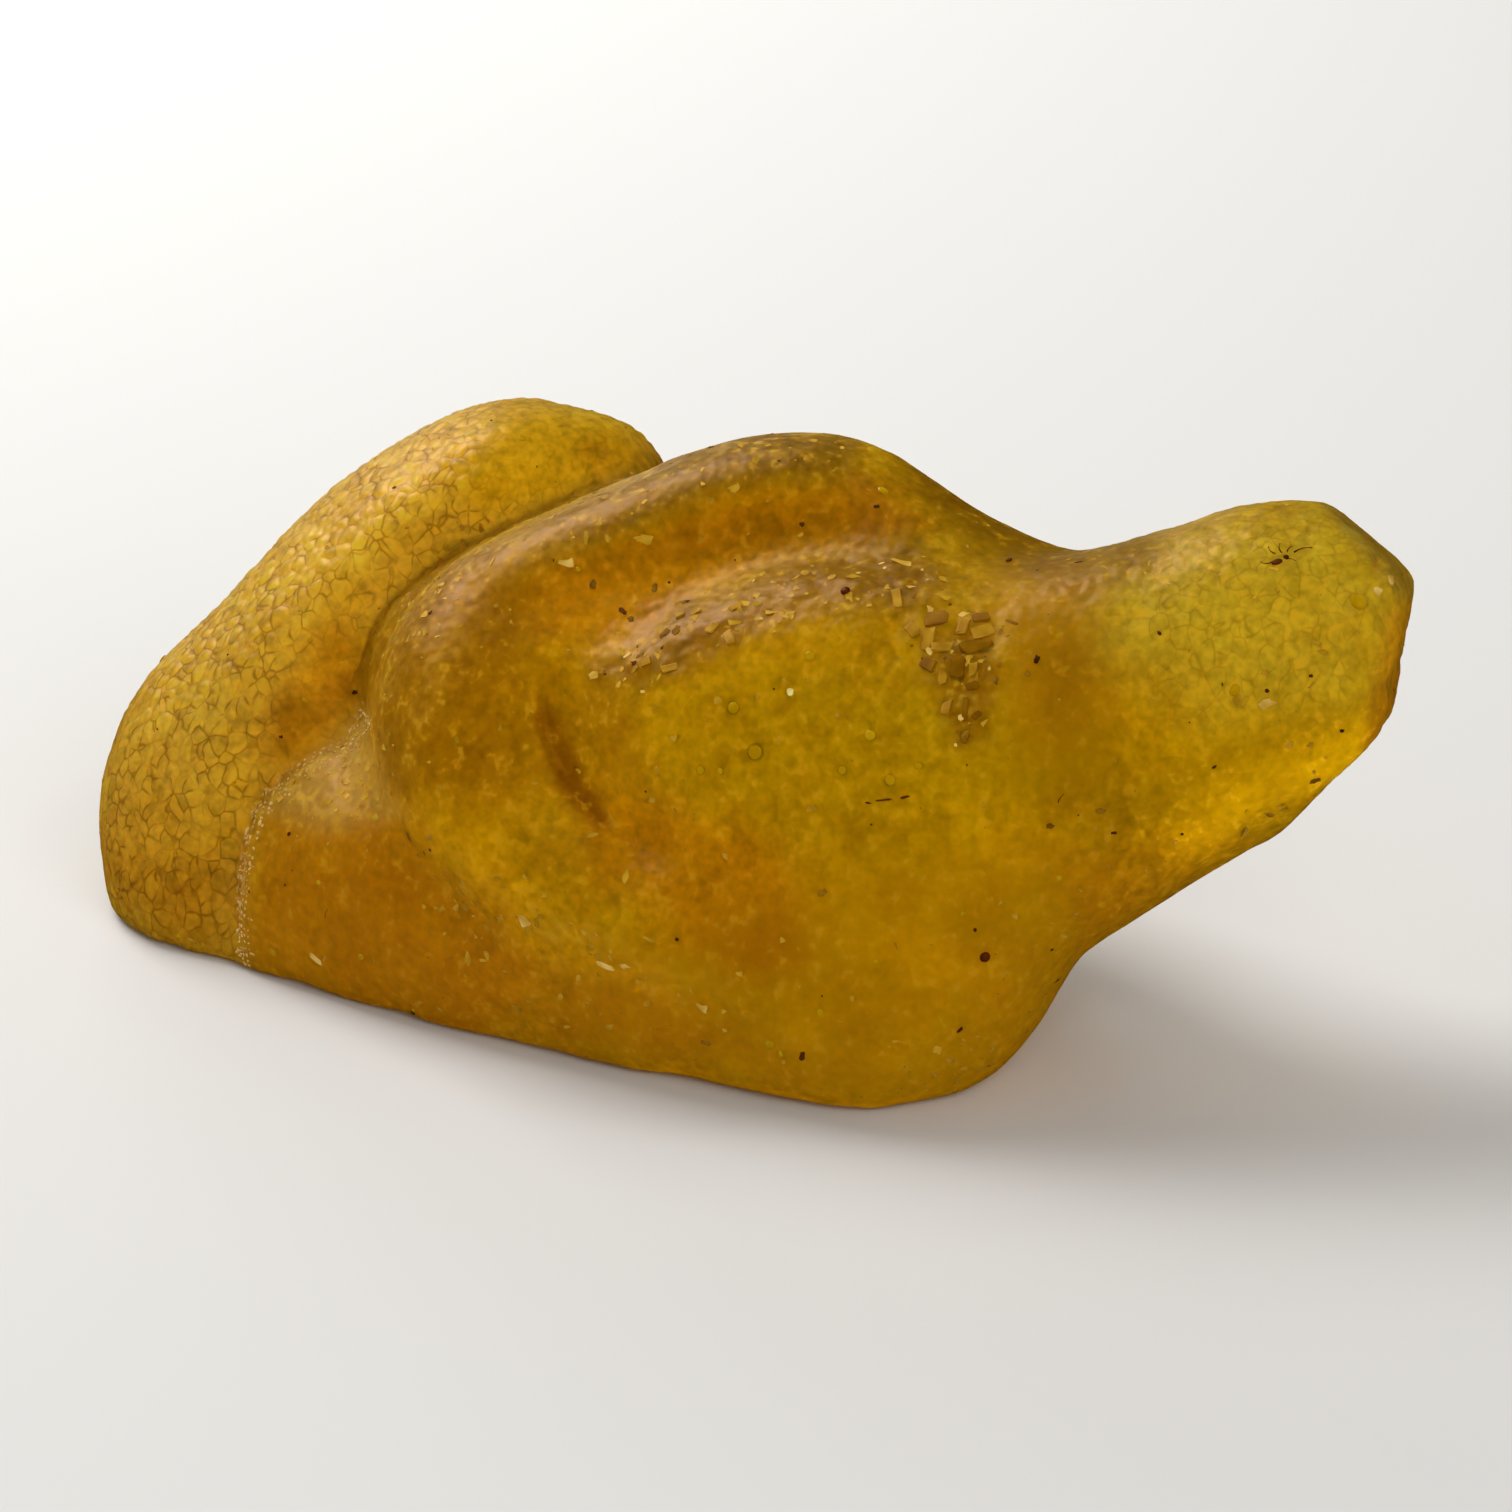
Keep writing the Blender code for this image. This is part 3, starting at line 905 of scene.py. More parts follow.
@dataclass(frozen=True)
class SoftBox:
    """A square lamp that looks at the nugget.

    Its place is counted from the picture's target across, up and out of the picture, in metres. Glare says
    whether it shows as a reflection.
    """

    name: str
    place: tuple[float, float, float]
    size: float
    watts: float
    glare: bool = True

    def build(self) -> None:
        """Hangs the lamp."""
        light = bpy.data.lights.new(self.name, "AREA")
        light.size = self.size
        light.energy = self.watts
        lamp = bpy.data.objects.new(self.name, light)
        across, up, out = (axis * share for axis, share in zip(FRONT.axes, self.place))
        lamp.location = FRONT.target + (across + up + out)
        lamp.visible_glossy = self.glare
        lamp.rotation_euler = (FRONT.target - lamp.location).to_track_quat("-Z", "Y").to_euler()
        bpy.context.scene.collection.objects.link(lamp)


@dataclass(frozen=True)
class Studio:
    """A plain pale floor and soft light, sizes in metres.

    The real piece lies among dark things, so the floor, the room and the box behind light the amber but
    aren't mirrored in it, where they would veil its rims.
    """

    floor_size: float = 4.0
    floor_colour: str = "dcdad6"
    floor_roughness: float = 0.9
    floor_shine: float = 0.2
    sky: float = 0.3
    boxes: tuple[SoftBox, ...] = (
        SoftBox("key soft box", (-0.20, 0.34, -0.04), 0.22, 1.32),
        SoftBox("back soft box", (-0.12, 0.20, -0.26), 0.20, 0.55, False),
        SoftBox("front soft box", (0.16, 0.12, 0.42), 0.30, 0.72),
    )
    bounces: int = 7
    diffuse_bounces: int = 2

    def lay_floor(self) -> None:
        """Lays the floor: matte paper, pale and even, with hardly any shine."""
        bpy.ops.object.select_all(action="DESELECT")
        bpy.ops.mesh.primitive_plane_add(size=self.floor_size)
        floor = bpy.context.object
        floor.name = "floor"
        paper = bpy.data.materials.new("matte studio paper")
        paper.use_nodes = True
        shader = paper.node_tree.nodes["Principled BSDF"]
        shader.inputs["Base Color"].default_value = linear(self.floor_colour)
        shader.inputs["Roughness"].default_value = self.floor_roughness
        shader.inputs["Specular IOR Level"].default_value = self.floor_shine
        floor.data.materials.append(paper)
        floor.visible_glossy = False

    def build(self) -> None:
        """Lays the floor, hangs the lamps and lights the room."""
        self.lay_floor()
        for box in self.boxes:
            box.build()
        scene = bpy.context.scene
        scene.world = bpy.data.worlds.new("soft room")
        scene.world.use_nodes = True
        background = scene.world.node_tree.nodes["Background"]
        background.inputs["Color"].default_value = (1.0, 1.0, 1.0, 1.0)
        background.inputs["Strength"].default_value = self.sky
        scene.world.cycles_visibility.glossy = False
        scene.view_settings.view_transform = "Standard"
        scene.cycles.max_bounces = self.bounces
        scene.cycles.transmission_bounces = self.bounces
        scene.cycles.diffuse_bounces = self.diffuse_bounces


@dataclass(frozen=True)
class Lumps:
    """One layer of noise in the skin: its height and how wide its lumps are, in millimetres."""

    height: float
    width: float
    octaves: int = 2
    seed: float = 0.0


@dataclass
class Nugget:
    """The amber itself, sizes in millimetres."""

    crackle: Crackle = field(default_factory=Crackle)
    coarse_voxel: float = 0.5
    fine_voxel: float = 0.28
    groove_rounds: int = 90
    form_rounds: int = 3
    fine_rounds: int = 5
    hollow_rounds: int = 30
    swirls: Lumps = Lumps(1.0, 2.6, 3, 7.0)
    small_swirls: Lumps = Lumps(0.8, 1.04, 2, 60.0)
    swirl_contrast: tuple[float, float, float] = (0.13, 0.18, 0.3)
    dust_patches: Lumps = Lumps(1.0, 1.1, 2, 20.0)
    dust_in_hollows: float = 0.4
    hollow_depths: tuple[float, float] = (0.15, 0.4)
    calming: float = 0.55
    uneven: tuple[Lumps, ...] = (Lumps(0.07, 3.2), Lumps(0.022, 0.9, 2, 40.0))
    crumbs: Lumps = Lumps(0.16, 0.7, 2, 80.0)
    crumbled_depth: float = 0.05
    shells: tuple[Lumps, ...] = (Lumps(0.2, 2.4, 1, 120.0), Lumps(0.08, 0.8, 2, 130.0))
    end_from: tuple[float, float] = (18.0, 22.0)
    end_squareness: tuple[float, float] = (0.7, 0.9)
    piece: bpy.types.Object = field(init=False)
    skin: Skin = field(init=False)

    def copied_solid(self) -> bpy.types.Object:
        """A copy of the CAD solid with its loose triangles merged."""
        solid = frame["nodes"][CAD_NODE]
        piece = solid.copy()
        piece.data = solid.data.copy()
        piece.parent = None
        piece.name = "amber_nugget_skin"
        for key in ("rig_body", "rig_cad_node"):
            if key in piece:
                del piece[key]
        piece.data.materials.clear()
        bpy.context.scene.collection.objects.link(piece)
        selected_alone(piece)
        bpy.ops.object.mode_set(mode="EDIT")
        bpy.ops.mesh.select_all(action="SELECT")
        bpy.ops.mesh.remove_doubles(threshold=0.000001)
        bpy.ops.object.mode_set(mode="OBJECT")
        return piece

    def soften(self, weights: np.ndarray, rounds: int, factor: float = 0.5) -> None:
        """Smooths the skin by its weights.

        Args:
            weights: one share from 0 to 1 for each point.
            rounds: how often.
            factor: how far each round goes.
        """
        group = self.piece.vertex_groups.new(name="softened")
        for index in np.flatnonzero(weights > 0.01):
            group.add([int(index)], float(weights[index]), "REPLACE")
        apply_modifier(self.piece, "SMOOTH", factor=factor, iterations=rounds, vertex_group=group.name)
        self.piece.vertex_groups.clear()
        self.skin.read()

    def covered(self, patches: tuple[Patch, ...]) -> np.ndarray:
        """How far each point of the skin lies within any of the patches, from 0 to 1."""
        return np.max([self.skin.inside(patch) for patch in patches], axis=0)

    def noise(self, lumps: Lumps) -> np.ndarray:
        """Smooth noise over the skin: one value for each point, about -1 to 1."""
        places = self.skin.points / (lumps.width * MM) + lumps.seed
        return np.array([noise.fractal(place, 1.0, 2.0, lumps.octaves) for place in map(Vector, places)])

    def lumpy(self, layers: tuple[Lumps, ...]) -> np.ndarray:
        """The height of some layers of lumps at each point, in millimetres."""
        return sum(layer.height * self.noise(layer) for layer in layers)

    def crackled(self) -> np.ndarray:
        """How strong the crackle is at each point, from 0 to 1."""
        return self.covered(CRACKLED) * (1.0 - self.covered(UNCRACKLED))

    def hollows(self) -> np.ndarray:
        """How deep each point lies in a hollow of the skin, in millimetres, below zero on rises."""
        smoother = self.piece.copy()
        smoother.data = self.piece.data.copy()
        bpy.context.scene.collection.objects.link(smoother)
        apply_modifier(smoother, "SMOOTH", factor=0.5, iterations=self.hollow_rounds)
        flat = read_values(smoother.data.vertices, "co", 3).reshape(-1, 3)
        bpy.data.meshes.remove(smoother.data)
        return np.einsum("ij,ij->i", flat - self.skin.points, self.skin.normals) / MM

    def weathered(self) -> None:
        """Gives the skin its gentle unevenness and its crumbled places."""
        skin = self.skin
        move = self.lumpy(self.uneven)
        move += self.covered(CRUMBLED) * (self.lumpy((self.crumbs,)) - self.crumbled_depth)
        # The snout's end face is broken, with shallow shell-like hollows and a rough grain
        broken = ramped(skin.normals[:, 0], *self.end_squareness)
        broken *= ramped(skin.points[:, 0] / MM, *self.end_from)
        move += broken * self.lumpy(self.shells)
        skin.points += skin.normals * move[:, None] * MM
        skin.write()

    def refine(self) -> None:
        """Doubles the mesh where the skin is crackled, so that the cracks carved later have points to move.
        """
        mesh = self.piece.data
        crackled = self.crackled() > 0.5
        sides = read_values(mesh.loops, "vertex_index", kind=int)
        starts = read_values(mesh.polygons, "loop_start", kind=int)
        selected_alone(self.piece)
        bpy.context.tool_settings.mesh_select_mode = (False, False, True)
        bpy.ops.object.mode_set(mode="EDIT")
        bpy.ops.mesh.select_all(action="DESELECT")
        bpy.ops.object.mode_set(mode="OBJECT")
        mesh.polygons.foreach_set("select", np.logical_and.reduceat(crackled[sides], starts))
        bpy.ops.object.mode_set(mode="EDIT")
        bpy.ops.mesh.subdivide(number_cuts=1, smoothness=0.0)
        bpy.ops.object.mode_set(mode="OBJECT")
        self.skin.read()

    def painted(self) -> None:
        """Lays the tints, the dust and the crackle on the skin as attributes."""
        skin, mesh = self.skin, self.piece.data
        tone = np.tile(np.array(linear(HONEY)), (len(skin.points), 1))
        for tint in TINTS:
            share = self.covered(tint.patches)
            tone += (np.array(linear(tint.colour)) - tone) * share[:, None]
        calm = self.covered(CALM)
        swirls = np.clip(self.noise(self.swirls), -1.0, 1.0)
        swirls += self.small_swirls.height * (1.0 - calm) * np.clip(self.noise(self.small_swirls), -1.0, 1.0)
        tone[:, :3] *= 1.0 + swirls[:, None] * np.array(self.swirl_contrast)
        dust = self.covered(DUSTY) * ramped(self.noise(self.dust_patches), -0.6, 0.5)
        dust = np.maximum(dust, self.dust_in_hollows * ramped(self.hollows(), *self.hollow_depths))
        layers = {"dust": dust, "crackle": self.crackled(), "grainy": 1.0 - self.calming * calm}
        mesh.attributes.new("tone", "FLOAT_COLOR", "POINT").data.foreach_set("color", tone.ravel())
        for name, share in layers.items():
            mesh.attributes.new(name, "FLOAT", "POINT").data.foreach_set("value", share)

    def kept_in_box(self) -> None:
        """Holds every point inside the CAD solid's box."""
        low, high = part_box(CAD_NODE)
        self.skin.points[:] = np.clip(self.skin.points, np.array(low), np.array(high))
        self.skin.write()

    def dress(self, finish: AmberFinish) -> None:
        """Gives the nugget its finish."""
        self.piece.data.materials.append(finish.make())

    def build(self) -> bpy.types.Object:
        """Makes the nugget's mesh from first copy to last stroke."""
        self.piece = self.copied_solid()
        apply_modifier(self.piece, "REMESH", mode="VOXEL", voxel_size=self.coarse_voxel * MM)
        self.skin = Skin(self.piece)
        self.soften(self.covered(SOFTENED), self.groove_rounds)
        for stroke in FORMS:
            self.skin.pull(stroke)
            self.skin.write()
        self.soften(np.ones(len(self.skin.points)), self.form_rounds)
        apply_modifier(self.piece, "REMESH", mode="VOXEL", voxel_size=self.fine_voxel * MM)
        self.skin = Skin(self.piece)
        self.soften(np.ones(len(self.skin.points)), self.fine_rounds)
        for stroke in RELIEF:
            self.skin.pull(stroke)
            self.skin.write()
        self.weathered()
        self.refine()
        self.painted()
        apply_modifier(self.piece, "NODES", node_group=self.crackle.carver())
        self.skin.read()
        self.kept_in_box()
        selected_alone(self.piece)
        bpy.ops.object.shade_smooth()
        return self.piece


class Shape(Enum):
    """The shapes of the small things in and on the skin."""

    FLAKE = "a thin plate with a broken outline"
    CRUMB = "a lump with blunt corners"
    DROP = "a rounded drop"
    SPLINTER = "a thin bent rod that tapers"
    BLOCK = "a block with broken corners"


# How far each shape's corners are shifted, as a share of its length
UNEVEN = {Shape.FLAKE: 0.22, Shape.CRUMB: 0.12, Shape.DROP: 0.015, Shape.SPLINTER: 0.05, Shape.BLOCK: 0.09}
# The share of a block's side that is broken off at its corners
BROKEN_OFF = 0.14
# A splinter's width, its bends aside from joint to joint, and how much of its width each joint keeps
SPLINTER_WIDTH = 0.16
SPLINTER_BENDS = (0.12, 0.05, -0.04, -0.12)
SPLINTER_TAPER = 0.75
# Skin whose normal points further down than this belongs to the foot
UNDERSIDE = -0.8


@dataclass(frozen=True)
class SpeckFinish:
    """The finish of small things: two close colours in soft patches, so that no two look alike.

    The patches are sized in millimetres.
    """

    name: str
    colour: str
    second: str
    roughness: float = 0.6
    transmission: float = 0.0
    shine: float = 0.3
    shine_colour: str = "ffb020"
    ior: float = 1.54
    patches: float = 0.67

    def make(self) -> bpy.types.Material:
        """The material's node tree."""
        material = bpy.data.materials.new(self.name)
        material.use_nodes = True
        tree = material.node_tree
        tree.nodes.clear()
        place = add_node(tree, "ShaderNodeTexCoord").outputs["Object"]
        patchy = add_node(tree, "ShaderNodeTexNoise", {
            "Vector": place, "Scale": per_metre(self.patches), "Detail": 1.0}).outputs["Fac"]
        share = add_node(tree, "ShaderNodeMapRange", {
            "Value": patchy, "From Min": 0.35, "From Max": 0.65}).outputs["Result"]
        coloured = add_node(tree, "ShaderNodeMix", {0: share, 6: linear(self.colour), 7: linear(self.second)},
                            data_type="RGBA").outputs[2]
        shader = add_node(tree, "ShaderNodeBsdfPrincipled", {
            "Base Color": coloured, "Roughness": self.roughness, "IOR": self.ior,
            "Transmission Weight": self.transmission, "Specular IOR Level": self.shine,
            "Specular Tint": linear(self.shine_colour)})
        add_node(tree, "ShaderNodeOutputMaterial", {"Surface": shader.outputs["BSDF"]})
        return material


@dataclass(frozen=True)
class Mark:
    """One small thing at a place of the picture: pixels, then size in millimetres, length and turn."""

    across: float
    down: float
    size: float
    long: float = 1.0
    turn: float = 0.0


@dataclass(frozen=True)
class Litter:
    """A kind of small thing: some at places of the picture, the rest strewn, sizes in millimetres."""

    name: str
    shape: Shape
    finish: SpeckFinish
    flat: float
    sunk: float
    marks: tuple[Mark, ...] = ()
    count: int = 0
    sizes: tuple[float, float] = (0.1, 0.3)
    stretch: float = 1.6
    patches: tuple[Patch, ...] = ()
    seed: int = 1
    kinds: int = 5
    tilt: float = 0.12

    def shape_once(self, turn: int) -> bpy.types.Object:
        """Models one of them, one unit long, lying flat at the origin.

        Args:
            turn: a number that gives another broken outline.
        Returns:
            The object, to be copied.
        """
        bpy.ops.object.select_all(action="DESELECT")
        if self.shape is Shape.FLAKE:
            bpy.ops.mesh.primitive_cylinder_add(vertices=7, radius=0.5, depth=1.0)
        elif self.shape is Shape.BLOCK:
            bpy.ops.mesh.primitive_cube_add(size=1.0)
        elif self.shape is Shape.SPLINTER:
            bpy.ops.mesh.primitive_circle_add(vertices=6, radius=0.5, fill_type="NGON")
        else:
            bpy.ops.mesh.primitive_ico_sphere_add(subdivisions=2, radius=0.5)
        single = bpy.context.active_object
        bpy.ops.object.mode_set(mode="EDIT")
        bpy.ops.mesh.select_all(action="SELECT")
        if self.shape is Shape.SPLINTER:
            self.draw_out_splinter()
        if self.shape is Shape.BLOCK:
            bpy.ops.mesh.bevel(offset=BROKEN_OFF, segments=1)
        bpy.ops.transform.vertex_random(offset=UNEVEN[self.shape], uniform=1.0, seed=self.seed + turn)
        bpy.ops.mesh.select_all(action="SELECT")
        bpy.ops.mesh.normals_make_consistent(inside=False)
        bpy.ops.object.mode_set(mode="OBJECT")
        return single

    def draw_out_splinter(self) -> None:
        """Pulls the selected disc out into a bent, tapering rod along x, while in edit mode."""
        bpy.ops.transform.rotate(value=math.pi / 2, orient_axis="Y", center_override=(0.0, 0.0, 0.0))
        bpy.ops.transform.resize(value=(1.0, SPLINTER_WIDTH, SPLINTER_WIDTH))
        bpy.ops.transform.translate(value=(-0.5, 0.0, 0.0))
        for aside in SPLINTER_BENDS:
            joint = (1.0 / len(SPLINTER_BENDS), aside, 0.0)
            bpy.ops.mesh.extrude_region_move(TRANSFORM_OT_translate={"value": joint})
            bpy.ops.transform.resize(value=(1.0, SPLINTER_TAPER, SPLINTER_TAPER))

    def places(self, nugget: Nugget) -> list[Matrix]:
        """Where each copy goes: at its marks first, then strewn over the skin by chance."""
        skin, chance = nugget.skin, np.random.default_rng(self.seed)
        across, up, _ = FRONT.axes
        found = []
        for mark in self.marks:
            hit = skin.spot(FRONT, (mark.across, mark.down))
            if hit is None:
                log.warning("mark %s of %s meets no skin", (mark.across, mark.down), self.name)
                continue
            turn = math.radians(mark.turn)
            aim = across * math.cos(turn) + up * math.sin(turn)
            found.append(self.seated(*hit, aim, mark.size, mark.long))
        polygons = nugget.piece.data.polygons
        areas = read_values(polygons, "area")
        centres = read_values(polygons, "center", 3).reshape(-1, 3)
        ways = read_values(polygons, "normal", 3).reshape(-1, 3)
        if self.patches:
            corners = read_values(nugget.piece.data.loops, "vertex_index", kind=int)
            areas *= nugget.covered(self.patches)[corners[read_values(polygons, "loop_start", kind=int)]]
        # Nothing lies under the foot, where it would lift the nugget
        areas[ways[:, 2] < UNDERSIDE] = 0.0
        small, large = self.sizes
        for index in chance.choice(len(areas), self.count, replace=False, p=areas / areas.sum()):
            place, way = Vector(centres[index]), Vector(ways[index])
            size = small + (large - small) * chance.random() ** 2
            aim = Vector(chance.normal(size=3))
            way = (way + Vector(chance.normal(size=3)) * self.tilt).normalized()
            found.append(self.seated(place, way, aim, size, 1.0 + (self.stretch - 1.0) * chance.random()))
        return found

    def seated(self, place: Vector, way: Vector, aim: Vector, size: float, long: float) -> Matrix:
        """The matrix that lays a copy on the skin.

        Args:
            place: the skin's point.
            way: its normal.
            aim: the direction its length runs in, roughly.
            size: its width in millimetres.
            long: its length over its width.
        Returns:
            Where the unit shape goes, sunk into the skin by its share.
        """
        along = (aim - way * aim.dot(way)).normalized()
        turned = Matrix((along, way.cross(along), way)).transposed().to_4x4()
        scale = Matrix.Diagonal((size * long * MM, size * MM, size * self.flat * MM, 1.0))
        return Matrix.Translation(place - way * size * self.flat * (self.sunk - 0.5) * MM) @ turned @ scale

    def build(self, nugget: Nugget) -> bpy.types.Object:
        """Makes every copy and joins them into one piece.

        Args:
            nugget: the skin that carries them.
        Returns:
            The joined piece, with its finish.
        """
        singles = [self.shape_once(turn) for turn in range(self.kinds)]
        joined = bmesh.new()
        for index, place in enumerate(self.places(nugget)):
            copy = singles[index % self.kinds].data.copy()
            copy.transform(place)
            joined.from_mesh(copy)
            bpy.data.meshes.remove(copy)
        low, high = (np.array(corner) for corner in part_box(CAD_NODE))
        for vert in joined.verts:
            vert.co = np.clip(vert.co, low, high)
        mesh = bpy.data.meshes.new(self.name)
        joined.to_mesh(mesh)
        joined.free()
        piece = bpy.data.objects.new(self.name, mesh)
        bpy.context.scene.collection.objects.link(piece)
        for single in singles:
            bpy.data.objects.remove(single)
        mesh.materials.append(self.finish.make())
        if self.shape is Shape.DROP:
            selected_alone(piece)
            bpy.ops.object.shade_smooth()
        return piece


# Flakes and chips catch the light as pale specks, bark and plant matter stay dull and dark, and drops of
# younger resin are clear and glossy
PALE = SpeckFinish("pale weathered flakes of amber", "cf9f28", "a87c10", 0.5)
CHALKY = SpeckFinish("chalky pale chips", "f0cc70", "c89a30", 0.5)
BROWN = SpeckFinish("brown crumbs of bark", "6e4604", "9a6c10", 0.7)
DARK = SpeckFinish("dark specks of plant matter", "2c1402", "5a2c06", 0.7)
CLEAR = SpeckFinish("drops of clear yellow resin", "dcb010", "c89a00", 0.25, 0.3)

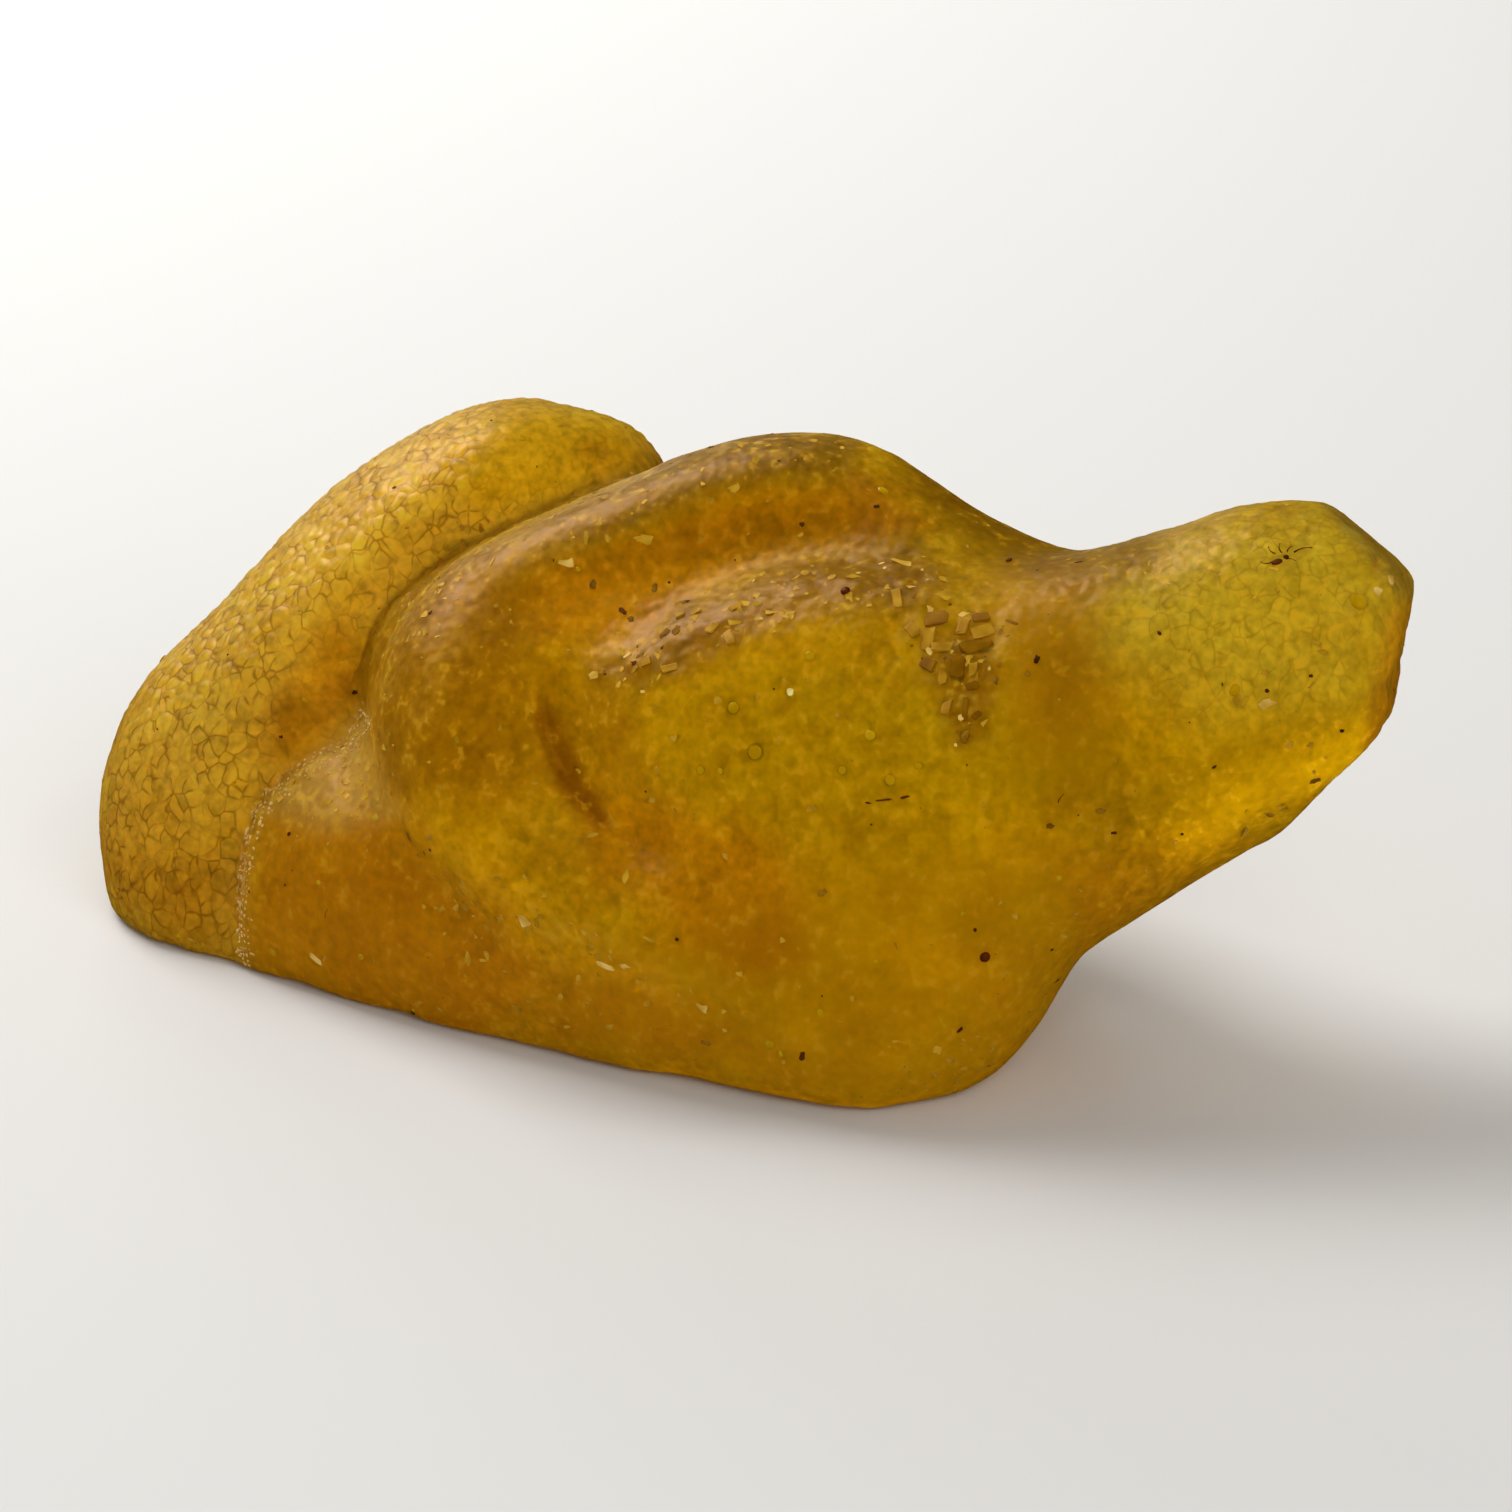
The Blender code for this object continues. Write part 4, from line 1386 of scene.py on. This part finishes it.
LITTER = (
    Litter("pale_flecks", Shape.FLAKE, PALE, 0.14, 0.8, count=560, sizes=(0.07, 0.24), stretch=2.6, seed=3),
    Litter("pale_flecks_in_clusters", Shape.FLAKE, PALE, 0.2, 0.75, (
        Mark(536, 783, 0.2, 1.3), Mark(457, 908, 0.3), Mark(468, 958, 0.22, 2.4, 80), Mark(516, 1008, 0.3),
        Mark(740, 974, 0.25), Mark(812, 808, 0.3, 1.4),
        Mark(735, 489, 0.35, 1.5), Mark(712, 500, 0.22), Mark(644, 539, 0.35, 1.8, -10),
        Mark(650, 940, 0.2, 2.2, -20), Mark(1265, 672, 0.25), Mark(1290, 745, 0.3),
        Mark(1238, 700, 0.3, 1.3, 70), Mark(1310, 745, 0.25)),
           460, (0.08, 0.3), 2.2, (
               Patch("ledge", LEDGE, 24.0, 0.9), Patch("pits", PITS, 40.0, 0.15),
               Patch("arm", ((430, 850), (520, 890), (660, 950), (730, 1010), (650, 1040), (500, 990),
                             (440, 930)),
                     50.0, 0.6),
               Patch("rim", FOLD_RIM, 30.0, 0.45),
               Patch("slab's top", ((262, 805), (300, 765), (366, 710), (385, 785), (400, 815), (300, 815)),
                     20.0, 1.0),
               Patch("corner at the foot", ((860, 1040), (1010, 1030), (990, 1100), (880, 1110)), 40.0, 0.5),
               Patch("back: fold", BACK_FOLD, 50.0, 0.7, BEHIND),
               Patch("back: pits", BACK_PITS, 40.0, 0.8, BEHIND)),
           5),
    Litter("chalky_chips", Shape.FLAKE, CHALKY, 0.25, 0.65, (
        Mark(904, 563, 0.3, 2.6, -25), Mark(964, 614, 0.25, 1.4, 20), Mark(929, 652, 0.25, 1.3, -60),
        Mark(524, 922, 0.4, 1.3, -20), Mark(604, 965, 0.22, 3.2, -15),
        Mark(703, 1008, 0.35, 1.3, -20), Mark(1268, 703, 0.35, 1.7, 10), Mark(1392, 580, 0.35, 1.3, 50),
        Mark(1378, 592, 0.3, 1.2), Mark(315, 958, 0.22, 2.8, -25), Mark(568, 563, 0.4, 1.4),
        Mark(625, 966, 0.18, 2.0)),
           18, (0.12, 0.28), 1.8, (Patch("pits", PITS, 30.0, 0.2), Patch("ledge", LEDGE, 20.0, 0.5)), 9),
    Litter("crust_on_the_slabs_edge", Shape.CRUMB, SpeckFinish("pale crust", "e4bc70", "c89848", 0.7), 0.6,
           0.55, (), 260, (0.08, 0.17), 1.8, (
               Patch("edge", ((238, 985), (237, 900), (244, 838), (256, 800), (297, 763), (350, 732),
                              (362, 705), (372, 718), (358, 746), (306, 778), (270, 812), (258, 840),
                              (250, 900), (252, 985)),
                     5.0, 1.0),), 11),
    Litter("bark_crumbs", Shape.CRUMB, BROWN, 0.3, 0.7, (
        Mark(686, 602, 0.26, 1.5), Mark(1027, 674, 0.22, 1.2),
        Mark(665, 633, 0.4, 1.3, 60), Mark(676, 630, 0.35, 1.5, 80), Mark(655, 587, 0.3, 1.5, 85),
        Mark(593, 585, 0.3, 1.6, 85), Mark(408, 836, 0.4, 1.6, -50), Mark(424, 853, 0.22),
        Mark(822, 893, 0.26, 1.7, 30), Mark(706, 1043, 0.28, 1.5), Mark(1050, 826, 0.24, 1.4),
        Mark(1100, 811, 0.25, 2.0, 10), Mark(1270, 815, 0.22, 2.2, -40), Mark(1315, 781, 0.25, 2.0, 10),
        Mark(640, 655, 0.3, 1.3)),
           30, (0.12, 0.4), 1.6, (Patch("pits", PITS, 30.0, 1.0),
                                  Patch("back: pits", BACK_PITS, 30.0, 1.0, BEHIND),
                                   Patch("knot", ((640, 600), (690, 590), (700, 625), (660, 650), (630, 640)),
                                         20.0, 0.6)), 13),
    Litter("brown_blocks", Shape.BLOCK, SpeckFinish("brown broken resin", "7a4c04", "946404", 0.6), 0.4, 0.72,
           (
        Mark(936, 619, 0.62, 1.4), Mark(981, 617, 0.42, 1.4, 10), Mark(978, 647, 0.5, 2.4, 4),
        Mark(958, 668, 0.52, 1.7, 88), Mark(928, 664, 0.5, 1.3, -30), Mark(972, 686, 0.3, 1.6, 10),
        Mark(965, 709, 0.2, 4.0, 86), Mark(977, 715, 0.22, 1.6, 40), Mark(965, 738, 0.2, 1.8, 85),
        Mark(1000, 633, 0.14, 5.0, 88), Mark(980, 669, 0.13, 5.0, 86), Mark(1012, 622, 0.12, 4.0, -35)),
           14, (0.15, 0.4), 2.2, (Patch("back: pits", BACK_PITS, 30.0, 1.0, BEHIND),), 41),
    Litter("tan_blocks", Shape.BLOCK, SpeckFinish("tan broken resin", "bc8c1e", "a07010", 0.55), 0.5, 0.7, (
        Mark(928, 639, 0.45, 1.9, 80), Mark(912, 630, 0.4, 1.4, -50), Mark(944, 647, 0.42, 2.0),
        Mark(963, 626, 0.42, 1.7, 80), Mark(984, 631, 0.5, 1.8, 20), Mark(943, 676, 0.34, 1.8, 85),
        Mark(947, 705, 0.34, 1.9, 85), Mark(973, 669, 0.34, 1.5, 88), Mark(670, 668, 0.3, 2.2, 10),
        Mark(645, 662, 0.3, 1.4, 5), Mark(712, 628, 0.3, 1.5, 50), Mark(736, 606, 0.26, 2.0, 40)),
           16, (0.15, 0.4), 2.2, (Patch("back: pits", BACK_PITS, 30.0, 1.0, BEHIND),
                                  Patch("ledge", LEDGE, 20.0, 0.25)), 43),
    Litter("dark_specks", Shape.CRUMB, DARK, 0.4, 0.7, (
        Mark(281, 737, 0.16), Mark(355, 692, 0.2, 1.3), Mark(289, 834, 0.2, 1.2), Mark(285, 885, 0.12),
        Mark(430, 613, 0.2, 1.3), Mark(802, 524, 0.2), Mark(623, 611, 0.22, 1.8, -50),
        Mark(687, 602, 0.2, 1.6), Mark(634, 663, 0.22, 1.5, -20), Mark(1037, 659, 0.24, 1.6, 80),
        Mark(978, 714, 0.22, 1.3), Mark(802, 1056, 0.24, 1.8, 75), Mark(1052, 950, 0.16),
        Mark(975, 930, 0.16), Mark(960, 1030, 0.18, 2.0, 60), Mark(1114, 833, 0.18, 1.3),
        Mark(1182, 834, 0.13), Mark(1267, 691, 0.18), Mark(1078, 562, 0.14, 3.0, -35),
        Mark(1342, 731, 0.16, 1.4), Mark(1311, 676, 0.16), Mark(430, 850, 0.14), Mark(1037, 570, 0.14),
        Mark(735, 560, 0.1), Mark(249, 892, 0.1), Mark(884, 800, 0.1, 6.0, 5), Mark(905, 797, 0.12, 3.0, 15),
        Mark(868, 803, 0.09, 3.0, -8)),
           70, (0.07, 0.2), 1.6, (), 17),
    Litter("round_dark_seed", Shape.DROP, SpeckFinish("dark red seed", "4a1602", "5e2206", 0.45), 0.7, 0.5,
           (Mark(985, 957, 0.42),), 1, (0.3, 0.4), 1.1, (), 19),
    Litter("trapped_insect_body", Shape.DROP, DARK, 0.5, 0.4,
           (Mark(1277, 562, 0.26, 1.7, 20), Mark(1286, 557, 0.2, 1.1)), 1, (0.2, 0.3), 1.8, (), 23),
    Litter("trapped_insect_legs", Shape.SPLINTER, DARK, 1.0, 0.5, (
        Mark(1303, 550, 0.5, 1.4, 20), Mark(1272, 550, 0.4, 1.0, 120), Mark(1281, 548, 0.42, 1.0, 95),
        Mark(1266, 562, 0.4, 1.0, 170), Mark(1291, 560, 0.36, 1.0, -20), Mark(1290, 549, 0.34, 1.0, 55)),
           3, (0.3, 0.5), 1.4, (), 29),
    Litter("resin_drops", Shape.DROP, CLEAR, 0.3, 0.8, (
        Mark(755, 752, 0.7), Mark(733, 708, 0.55), Mark(1360, 600, 0.8), Mark(870, 735, 0.5),
        Mark(890, 780, 0.5), Mark(842, 770, 0.4), Mark(700, 770, 0.4), Mark(1235, 690, 0.4, 1.3, 60)),
           60, (0.25, 0.5), 1.2, (), 31),
    # A glossy chip whose near-white colour is a painted glint; its gloss reflects the lamps as well
    Litter("painted_glint_chip", Shape.FLAKE, SpeckFinish("pale glassy chip for a painted glint", "fff0a0", "f4dc70", 0.08,
                                                   shine_colour="fff4c0"), 0.6, 0.4,
           (Mark(790, 692, 0.3, 1.1, 40),), 2, (0.15, 0.2), 1.2, (), 37),
)


def main() -> None:
    """Builds the pieces in order and reports each."""
    logging.basicConfig(level=logging.INFO, format="%(name)s %(message)s")
    FRONT.add_camera()
    Studio().build()
    nugget = Nugget()
    nugget.build()
    nugget.dress(AmberFinish(nugget.crackle))
    pieces = [nugget.piece]
    for litter in LITTER:
        pieces.append(litter.build(nugget))
    for piece in pieces:
        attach(piece, BODY)
        piece.data.calc_loop_triangles()
        log.info("%s %d triangles", piece.name, len(piece.data.loop_triangles))
    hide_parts(CAD_NODE)


if __name__ == "__main__":
    main()
